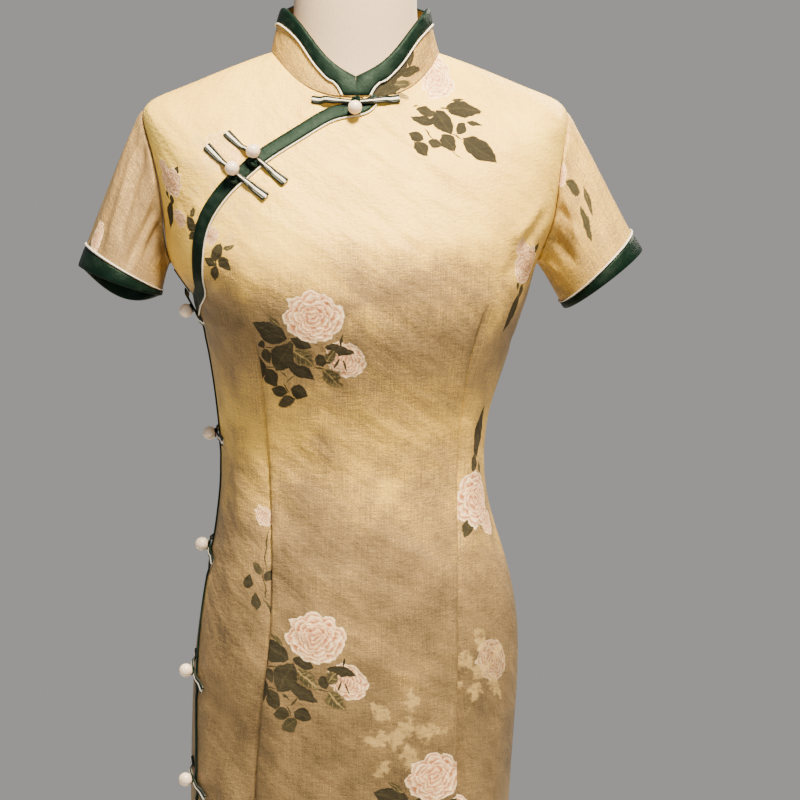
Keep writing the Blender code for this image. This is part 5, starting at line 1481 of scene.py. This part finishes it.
def sleeve_pieces(side, satin):
    """A sleeve with its cuff's band, folded over the hem, and its piping."""
    sizes, _ = settings()
    at, facing = sleeve_surface(side, sizes.wall)
    half, radius = sizes.wall / 2, sizes.piping
    t = np.linspace(0, 2, 145)[:-1]
    long = run_of(at(0.5, np.linspace(0, 1, 60)))[-1]
    girth = run_of(at(np.append(t, 2.0), 0.5))[-1]
    hem_w = 1 - (CUFF_BAND + 1.2 * GAP) / long

    def place(w, out):
        """Points round the sleeve at w, this far outside its middle."""
        turn, w = np.broadcast_arrays(t, w)
        lift = out + sleeve_relief(side, turn, w, girth, long) * ease((0.98 - w) / 0.12 + 0.35)
        return at(turn, w) + outward(at, turn, w, facing) * lift[..., None]

    w = np.concatenate([SLEEVE_HEAD, np.linspace(0.115, hem_w, 46)])
    uv = np.stack(np.meshgrid(np.append(t, 2.0) * girth / 2, -w * long), -1)
    inner, outer = (place(w[:, None], out) for out in (-half, half))
    body = wall_object(f"sleeve_{side}_cloth", inner, outer, uv, satin, closed=True)
    rings = [place(1 - (1 - part) * CUFF_BAND / long, half + out * MM) for part, out in CUFF_SECTION]
    across = [part * CUFF_BAND for part, _ in CUFF_SECTION]
    cuff = bar_object(f"binding_cuff_{side}_satin", np.stack(rings, 1), across, "green_satin", closed=True)
    rings = []
    for turn in CORD_TURNS:
        off = PIPING_OFF + radius * (1 - math.cos(turn))
        rings.append(place(hem_w - off / long, half + GAP + radius * (1 + math.sin(turn))))
    cord = bar_object(f"piping_cuff_{side}_cord", np.stack(rings, 1), CORD_TURNS, "white_piping", closed=True)


# ---- collar

COLLAR_RISE_AT = smooth_curve([row[0] for row in COLLAR_RISE], [row[1] * MM for row in COLLAR_RISE])


def collar_rise(turn):
    """How high the collar's top edge stands, in metres."""
    return COLLAR_RISE_AT(np.abs(np.asarray(turn, float)))


def collar_at(turn, part):
    """The collar's middle surface: turn in degrees from centre front, + to the left; part 0 to 1 up it."""
    turn, part = np.broadcast_arrays(np.asarray(turn, float), np.asarray(part, float))
    ahead = np.clip(1 - np.abs(turn) / 90, 0, 1)
    place = turn + COLLAR_CENTRE * ahead
    side = np.abs(place) / 90
    g = np.where(side <= 1, np.sign(place) * side, -2 - np.sign(place) * (2 - side))
    base = skin(g, 0.0)
    middle = np.array([0, NECK_Y, 0])
    lean = 1 + (COLLAR_LEAN - 1) * part
    flat = middle + (base - middle) * lean[..., None]
    rise = COLLAR_LIFT + collar_rise(turn) * part
    return np.stack([flat[..., 0], flat[..., 1], base[..., 2] + rise], -1)


def collar_normal(turn, part):
    """The way out of the collar's middle surface."""
    flat = collar_at(turn, part) - np.array([0, NECK_Y, 0])
    flat[..., 2] = 0
    return unit(unit(flat) + np.array([0, 0, COLLAR_TILT]))


def collar_line(turn, distance):
    """Height of the line this far below the collar's rim: it curves down to the base at the front."""
    turn = np.abs(np.asarray(turn, float))
    slope = (collar_rise(turn + 1) - collar_rise(turn - 1)) / (COLLAR_R * math.radians(2))
    free = collar_rise(turn) - distance * np.sqrt(1 + slope**2)
    turns, heights = np.array(COLLAR_CORNER, float).T
    near = np.interp(turn, turns, heights * MM)
    return np.where(turn <= turns[0], heights[0] * MM, near + (free - near) * ease((turn - 12) / 14))


def collar_wave(turn, part):
    """The stiffened collar is never quite even: shallow dents round it, most at its middle height."""
    turn = np.radians(turn)
    dents = sum(height * MM * np.sin(count * turn + start) for count, start, height in COLLAR_DENTS)
    return dents * np.sin(math.pi * np.clip(part, 0, 1)) * settings()[0].crease


def order_turn(turn):
    """The same turn between -180 and 180."""
    return (turn + 180) % 360 - 180


def collar_turns(end):
    """Turns from the right of the opening, round the back, to its left: closer together at the front."""
    near = end + (40 - end) * np.linspace(0, 1, 34) ** 1.3
    half = np.concatenate([near, np.linspace(40, 180, 56)[1:]])
    return np.concatenate([-half, half[-2::-1]])


def collar_pieces(satin):
    """The collar with its band, folded over the rim, and its piping."""
    half, radius = COLLAR_WALL / 2, settings()[0].piping
    turns = collar_turns(COLLAR_ENDS[0])
    rim, foot = collar_rise(turns), collar_line(turns, COLLAR_BAND)
    low = foot / rim
    parts = [1 + (low - 1) * step for step in np.linspace(0, 1, 7)[:-1]]
    parts = np.stack(parts + [low * step for step in (1, 0.84, 0.68, 0.52, 0.36, 0.2, 0.08, 0)])

    def place(turn, part, out):
        out = out + collar_wave(turn, part)
        return collar_at(turn, part) + collar_normal(turn, part) * out[..., None]

    round_back = np.where(turns > 0, turns - 360, turns)
    uv = np.stack(np.broadcast_arrays(COLLAR_R * np.radians(round_back), parts * rim), -1)
    body = wall_object("collar_cloth", place(turns, parts, -half), place(turns, parts, half), uv, satin)
    rings = []
    for part, above, out in COLLAR_SECTION:
        height = foot + (rim - foot) * part + above * MM
        rings.append(place(turns, height / rim, half + out * MM))
    across = [part * COLLAR_BAND for part, _, _ in COLLAR_SECTION]
    edge = bar_object("binding_collar_satin", np.stack(rings, 1), across, "green_satin")
    # the piping follows the band's foot, on the unrolled collar
    around = round_back[np.abs(turns) > COLLAR_ENDS[1] - 1]
    path = np.stack([COLLAR_R * np.radians(around), collar_line(order_turn(around), COLLAR_BAND)], -1)
    way = unit(np.gradient(path, axis=0))
    down = np.stack([-way[:, 1], way[:, 0]], -1)
    rings = []
    for angle in CORD_TURNS:
        spot = path + down * (GAP + radius * (1 + math.cos(angle)))
        turn = order_turn(np.degrees(spot[:, 0] / COLLAR_R))
        part = np.maximum(spot[:, 1], PIPING_OFF) / collar_rise(turn)
        rings.append(place(turn, part, half + 2 * GAP + radius * (1 + math.sin(angle))))
    cord = bar_object("piping_collar_cord", np.stack(rings, 1), CORD_TURNS, "white_piping")


# ---- frogs


def tail_object(name, spot, way, length, run, high, rest):
    """A tail of three rouleaux side by side, green, white, green, turned over at its end.
    It lies level at high over the run, then sinks to rest."""
    steps = np.linspace(0, 1 - TAIL_TURN, 26), 1 - TAIL_TURN * (1 - np.linspace(0, 1, 7)[1:]) ** 2
    steps = np.concatenate(steps)
    places = TAIL_APART + (length - TAIL_APART) * steps
    levels = high + (rest - high) * ease((places - run) / TAIL_FALL)
    halves = (TAIL_NARROW + (TAIL_WIDE - TAIL_NARROW) * ease(steps)) / 2
    left = np.clip((1 - steps) / TAIL_TURN, 0, 1)
    closings = np.maximum(np.sqrt(left * (2 - left)), 0.12)
    offs, tops = np.array(TAIL_PROFILE, float).T
    across = np.concatenate([-offs[::-1], offs[1:]])[:, None]
    crest = np.concatenate([tops[::-1], tops[1:]])[:, None]
    sections = []
    for place, level, half, closing in zip(places, levels, halves, closings):
        at = walk(*spot, way, place)
        point, normal = skin(*at), outward(skin, *at)
        side = unit(np.cross(normal, way)) * half * (0.72 + 0.28 * closing)
        top = level + TAIL_THICK * (0.15 + 0.85 * crest * closing)
        upper, lower = point + side * across + normal * top, point + side * across[::-1] + normal * level
        sections.append(np.concatenate([upper, lower]))
    spread = np.concatenate([across, across[::-1]])[:, 0]
    return bar_object(name, np.array(sections), spread, "green_satin", finish("frog_cord"))


def ball_object(name, centre, normal, radius):
    """A ball button: a sphere, a little flattened where its shank goes in."""
    bpy.ops.mesh.primitive_uv_sphere_add(segments=40, ring_count=24, radius=radius)
    made = bpy.context.object
    made.name = name
    made.data.uv_layers[0].name = "cloth"
    for vertex in made.data.vertices:
        near = max(0.0, -vertex.co.z / radius - 1 + BALL_FLAT[0]) / BALL_FLAT[0]
        vertex.co.z += near * near * radius * BALL_FLAT[1]
    up = np.array([0, 0, 1.0])
    angle = math.acos(float(np.clip(normal @ up, -1, 1)))
    spin = mathutils.Matrix.Rotation(angle, 4, mathutils.Vector(np.cross(up, normal)))
    made.data.transform(mathutils.Matrix.Translation(mathutils.Vector(centre)) @ spin)
    made.data.shade_smooth()
    made.data.materials.clear()
    return finish_piece(made, "pearl")


def knot_object(name, node, spot, high):
    """The turned knot of a frog: one green rouleau wound round itself three ways."""
    centre, normal = skin(*spot), outward(skin, *spot)
    across = unit(np.cross(normal, (0.0, 0.0, 1.0)))
    turns = np.linspace(0, 2 * math.pi, 73)[:-1, None]
    reach = TURNS_UNIT * (2 + np.cos(3 * turns))
    lift = high + TURNS_R * (1.7 + 0.8 * np.sin(3 * turns))
    path = centre + normal * lift + across * reach * np.cos(2 * turns)
    path = path + np.cross(across, normal) * reach * np.sin(2 * turns)
    ahead = unit(np.roll(path, -1, 0) - np.roll(path, 1, 0))
    side = unit(np.cross(ahead, normal))
    above = np.cross(side, ahead)
    angles = np.linspace(0, 2 * math.pi, 13)[:-1]
    rings = [path + TURNS_R * (math.cos(a) * side + math.sin(a) * above) for a in angles]
    return bar_object(name, np.stack(rings, 1), angles, "green_satin", closed=True, node=node)


def frog_pieces(name, spots, sink, ways, runs, under, length):
    """A ball button on its knot, with a loop tail on the lapped front and a knot tail on the piece under it.
    spots are (g, v) of the tails' meeting, the ball and the knot; ways and runs are the two tails'."""
    sizes, _ = settings()
    spot, ball, turns = spots
    over_front = LAP_LIFT + sizes.wall + GAP
    over_piping = over_front + 2 * sizes.piping + GAP
    normal = outward(skin, *spot)
    for part, way, run, rest in zip(("loop", "knot"), ways, runs, (over_front, under)):
        way = unit(way - normal * np.dot(way, normal))
        tail_object(f"frog_{name}_{part}_cord", spot, way, length, run * MM, over_piping, rest)
    knot_object(f"frog_{name}_turns", f"frog_{name}_knot", turns, over_piping)
    normal = outward(skin, *ball)
    centre = skin(*ball) + normal * (over_piping + TAIL_BED + GAP + sizes.button - sink)
    ball_object(f"frog_{name}_ball_pearl", centre, normal, sizes.button)


def chest_frog(name, x, z, loop, knot, length, ball, sink, runs, turns_low):
    """A frog on the chest, from its row."""
    places = ((x, z), ball, (x, z - turns_low))
    spots = [[float(a) for a in front_place(x_of * MM, z_of * MM)] for x_of, z_of in places]
    ways = [np.array([way[0], 0, way[1]]) for way in (loop, knot)]
    frog_pieces(name, spots, sink * MM, ways, runs, settings()[0].wall + GAP, length * MM)


def side_frog(name, z, fall, runs, under):
    """A frog down the side, from its row."""
    v = float(np.interp(-z, -BODY_BY["side_z"], BODY_BY["run"])) * MM
    g = float(opening_edge(v)) - SIDE_FROG_OUT / float(quarter_length(v, -1.0))
    way = np.array([*SIDE_FROG_WAY, -fall])
    frog_pieces(name, [(g, v)] * 3, 0.0, (way, -way), runs, under * MM, SIDE_FROG_LENGTH)


# ---- dress form


def form_rings(count):
    """Rings of the form from its neck down, each from the left side round the back."""
    g = np.linspace(-3, 1, count + 1)[:-1]
    base = skin(g, NECK_BASE_V) - outward(skin, g, NECK_BASE_V) * NECK_CLEAR
    turn = np.where(g >= -1, g, -2 - g)
    angle = (1 - np.abs(turn)) * math.pi / 2
    across = np.sign(turn + 1e-12) * np.cos(angle) * NECK_HALF[0]
    deep = np.where(g >= -1, -1, 1) * np.sin(angle) * NECK_HALF[1]
    rings = []
    for share_of in np.linspace(0, 1, 9)[1:]:  # the top's rounded edge
        size_of = 1 - (NECK_EDGE / NECK_HALF[0]) * (1 - math.sin(share_of * math.pi / 2))
        up = NECK_TOP + NECK_EDGE * math.cos(share_of * math.pi / 2)
        rings.append(np.stack([across * size_of, NECK_Y + deep * size_of, np.full(count, up)], -1))
    for share_of in np.concatenate([np.linspace(1, 0.3, 14)[1:], np.linspace(0.3, 0, 14)[1:-1]]):
        flare = (1 - share_of) ** NECK_FLARE
        x = across + (base[:, 0] - across) * flare
        y = NECK_Y + deep + (base[:, 1] - NECK_Y - deep) * flare
        rings.append(np.stack([x, y, base[:, 2] + (NECK_TOP - base[:, 2]) * share_of], -1))
    rings.append(base)
    runs, depths = np.array(CLEARANCE, float).T
    for v in np.concatenate([np.linspace(0.022, 0.14, 16), np.arange(0.15, 0.70, 0.0092), [0.70]]):
        rings.append(skin(g, v) - outward(skin, g, v) * float(np.interp(v, runs * MM, depths * MM)))
    bottom = rings[-1].copy()
    bottom[:, :2] *= FORM_FOOT
    bottom[:, 2] = FORM_BOTTOM
    rings.append(bottom)
    return np.array(rings)


# ---- operators


class CHEONGSAM_OT_front(bpy.types.Operator):
    """Builds the lapped front with its lapel band, piping and side binding"""

    bl_idname = "cheongsam.front"
    bl_label = "Lapped front"

    def execute(self, context):
        radius = settings()[0].piping
        down = panel_rows(0, BAND_END_V)
        down = np.concatenate([[TOP_V], down[down > TOP_V]])
        lapel = edge_sections(down, BAND_LINE, band_section(LAPEL_BAND))
        tube = [("line", radius * math.cos(t), GAP + radius * (1 + math.sin(t))) for t in CORD_TURNS]
        cord = edge_sections(down, PIPING_LINE, tube)
        down = panel_rows(BAND_END_V, HEM_V)
        down[0] += 1 * MM
        side = edge_sections(down, BAND_LINE, band_section(SIDE_BAND))
        across = np.linspace(0, 1, lapel.shape[1])
        trimmings = [
            bar_object("binding_lapel_satin", lapel, across, "green_satin"),
            bar_object("piping_lapel_cord", cord, CORD_TURNS, "white_piping"),
            bar_object("binding_side_satin", side, across, "green_satin"),
        ]
        panel("front_main", "front", HEM_V, front_knots, FRONT_STEPS, front_relief, -1, trimmings)
        return {"FINISHED"}


class CHEONGSAM_OT_under(bpy.types.Operator):
    """Builds the piece of the front that lies under the lapel"""

    bl_idname = "cheongsam.under"
    bl_label = "Front under the lapel"

    def execute(self, context):
        panel("front_under", "under", LAPEL_END_V, under_knots, UNDER_STEPS, under_relief, 0)
        return {"FINISHED"}


class CHEONGSAM_OT_back(bpy.types.Operator):
    """Builds the back and the binding of its right edge under the arm"""

    bl_idname = "cheongsam.back"
    bl_label = "Back"

    def execute(self, context):
        sizes, _ = settings()
        half, below_arm, above_lapel = UNDERARM_STRIP
        arm = np.linspace(UNDERARM_V + below_arm, LAPEL_END_V - above_lapel, 24)
        sections = []
        for off, up in STRIP_SECTION:
            g = -1 + off * half / quarter_length(arm, -1.0)
            lift = sizes.wall + GAP + up * BAND_THICK
            sections.append(skin(g, arm) + outward(skin, g, arm) * lift)
        across = np.linspace(0, 1, len(STRIP_SECTION))
        strip = bar_object("binding_underarm_satin", np.stack(sections, 1), across, "green_satin")
        panel("back", "back", HEM_V, back_knots, BACK_STEPS, back_relief, 0, [strip])
        return {"FINISHED"}


class CHEONGSAM_OT_sleeves(bpy.types.Operator):
    """Builds both sleeves with their cuff bands and piping"""

    bl_idname = "cheongsam.sleeves"
    bl_label = "Sleeves"

    def execute(self, context):
        for side, (wash_and_light, leaves, roses) in SLEEVE_PRINTS.items():
            print_of = in_metres(leaves), in_metres(roses), wash_and_light
            sleeve_pieces(side, new_material(f"Gold satin {side} sleeve", printed_satin, *print_of))
        return {"FINISHED"}


class CHEONGSAM_OT_collar(bpy.types.Operator):
    """Builds the standing collar with its binding and piping"""

    bl_idname = "cheongsam.collar"
    bl_label = "Collar"

    def execute(self, context):
        girth = 2 * math.pi * COLLAR_R
        leaves = [(x - girth, *rest) for x, *rest in in_metres(COLLAR_LEAVES)]
        collar_pieces(new_material("Gold satin collar", printed_satin, leaves, (), COLLAR_GROUND))
        return {"FINISHED"}


class CHEONGSAM_OT_frogs(bpy.types.Operator):
    """Builds the eight frogs: their corded tails and pearl ball buttons"""

    bl_idname = "cheongsam.frogs"
    bl_label = "Frogs"

    def execute(self, context):
        for row in CHEST_FROGS:
            chest_frog(*row)
        for row in SIDE_FROGS:
            side_frog(*row)
        return {"FINISHED"}


class CHEONGSAM_OT_form(bpy.types.Operator):
    """Builds the linen-covered dress form"""

    bl_idname = "cheongsam.form"
    bl_label = "Dress form"

    def execute(self, context):
        around = np.linspace(0, FORM_GIRTH, FORM_SIDES + 1)[:-1]
        bar_object("form_torso_linen", form_rings(FORM_SIDES), around, "linen")
        return {"FINISHED"}


class CHEONGSAM_OT_stand(bpy.types.Operator):
    """Builds the pole and the round base"""

    bl_idname = "cheongsam.stand"
    bl_label = "Stand"

    def execute(self, context):
        for node, radius, low, high, rounding in STAND:
            place = (0, 0, (low + high) / 2)
            bpy.ops.mesh.primitive_cylinder_add(vertices=96, radius=radius, depth=high - low, location=place)
            made = context.object
            made.name = f"{node}_enamel"
            bpy.ops.object.transform_apply(location=True, rotation=True, scale=True)
            bpy.ops.object.mode_set(mode="EDIT")
            bpy.ops.mesh.select_all(action="DESELECT")
            bpy.ops.object.mode_set(mode="OBJECT")
            for edge in made.data.edges:
                ends = [made.data.vertices[k].co.z for k in edge.vertices]
                edge.select = abs(ends[0] - ends[1]) < 1e-6
            bpy.ops.object.mode_set(mode="EDIT")
            bpy.ops.mesh.bevel(offset=rounding, segments=4)
            bpy.ops.object.mode_set(mode="OBJECT")
            bpy.ops.object.shade_smooth_by_angle(angle=math.radians(50))
            finish_piece(made, "black_enamel")
        return {"FINISHED"}


class CHEONGSAM_OT_stage(bpy.types.Operator):
    """Builds the floor, the lights and the camera"""

    bl_idname = "cheongsam.stage"
    bl_label = "Stage"

    def execute(self, context):
        scene = context.scene
        bpy.ops.mesh.primitive_circle_add(vertices=96, radius=FLOOR_R, fill_type="NGON")
        floor = context.object
        floor.name = "studio_floor"
        floor.data.materials.append(finish("stage"))
        for name, spot, aim, wide, watts, tint in LIGHTS:
            lamp = bpy.data.lights.new(name, "AREA")
            lamp.shape, lamp.size, lamp.energy = "DISK", wide, watts
            lamp.color = linear(tint)
            made = bpy.data.objects.new(name, lamp)
            made.location = spot
            way = mathutils.Vector(aim) - mathutils.Vector(spot)
            made.rotation_euler = way.to_track_quat("-Z", "Y").to_euler()
            scene.collection.objects.link(made)
        world = bpy.data.worlds.new("Studio air")
        world.use_nodes = True
        air = {"Color": (*linear(WORLD_TINT), 1), "Strength": WORLD_LIGHT}
        plug(world.node_tree, world.node_tree.nodes["Background"], air)
        scene.world = world
        lens = bpy.data.cameras.new("Camera")
        lens.lens, lens.shift_x = CAMERA_LENS, CAMERA_SHIFT
        camera = bpy.data.objects.new("Camera", lens)
        turn = math.radians(CAMERA_AZIMUTH)
        camera.location = (CAMERA_X + CAMERA_FAR * math.sin(turn), -CAMERA_FAR * math.cos(turn), CAMERA_Z)
        camera.rotation_euler = (math.radians(90 - CAMERA_DOWN), 0, turn)
        scene.collection.objects.link(camera)
        scene.camera = camera
        return {"FINISHED"}


class CHEONGSAM_PT_panel(bpy.types.Panel):
    """Lists the settings and the pieces"""

    bl_idname = "CHEONGSAM_PT_panel"
    bl_label = "Cheongsam"
    bl_space_type = "VIEW_3D"
    bl_region_type = "UI"
    bl_category = "Cheongsam"

    def draw(self, context):
        column = self.layout.column()
        for group in settings():
            for name in group.bl_rna.properties.keys():
                if name not in ("rna_type", "name"):
                    column.prop(group, name)
        for step in STEPS:
            column.operator(f"cheongsam.{step}")


CLASSES = (
    CheongsamSizes,
    CheongsamColours,
    CHEONGSAM_OT_form,
    CHEONGSAM_OT_back,
    CHEONGSAM_OT_under,
    CHEONGSAM_OT_front,
    CHEONGSAM_OT_sleeves,
    CHEONGSAM_OT_collar,
    CHEONGSAM_OT_frogs,
    CHEONGSAM_OT_stand,
    CHEONGSAM_OT_stage,
    CHEONGSAM_PT_panel,
)


def register():
    for kind in CLASSES:
        bpy.utils.register_class(kind)
    bpy.types.Scene.cheongsam_sizes = bpy.props.PointerProperty(type=CheongsamSizes)
    bpy.types.Scene.cheongsam_colours = bpy.props.PointerProperty(type=CheongsamColours)


def unregister():
    del bpy.types.Scene.cheongsam_sizes
    del bpy.types.Scene.cheongsam_colours
    for kind in reversed(CLASSES):
        bpy.utils.unregister_class(kind)


def main():
    register()
    for step in STEPS:
        getattr(bpy.ops.cheongsam, step)()


if __name__ == "__main__":
    main()
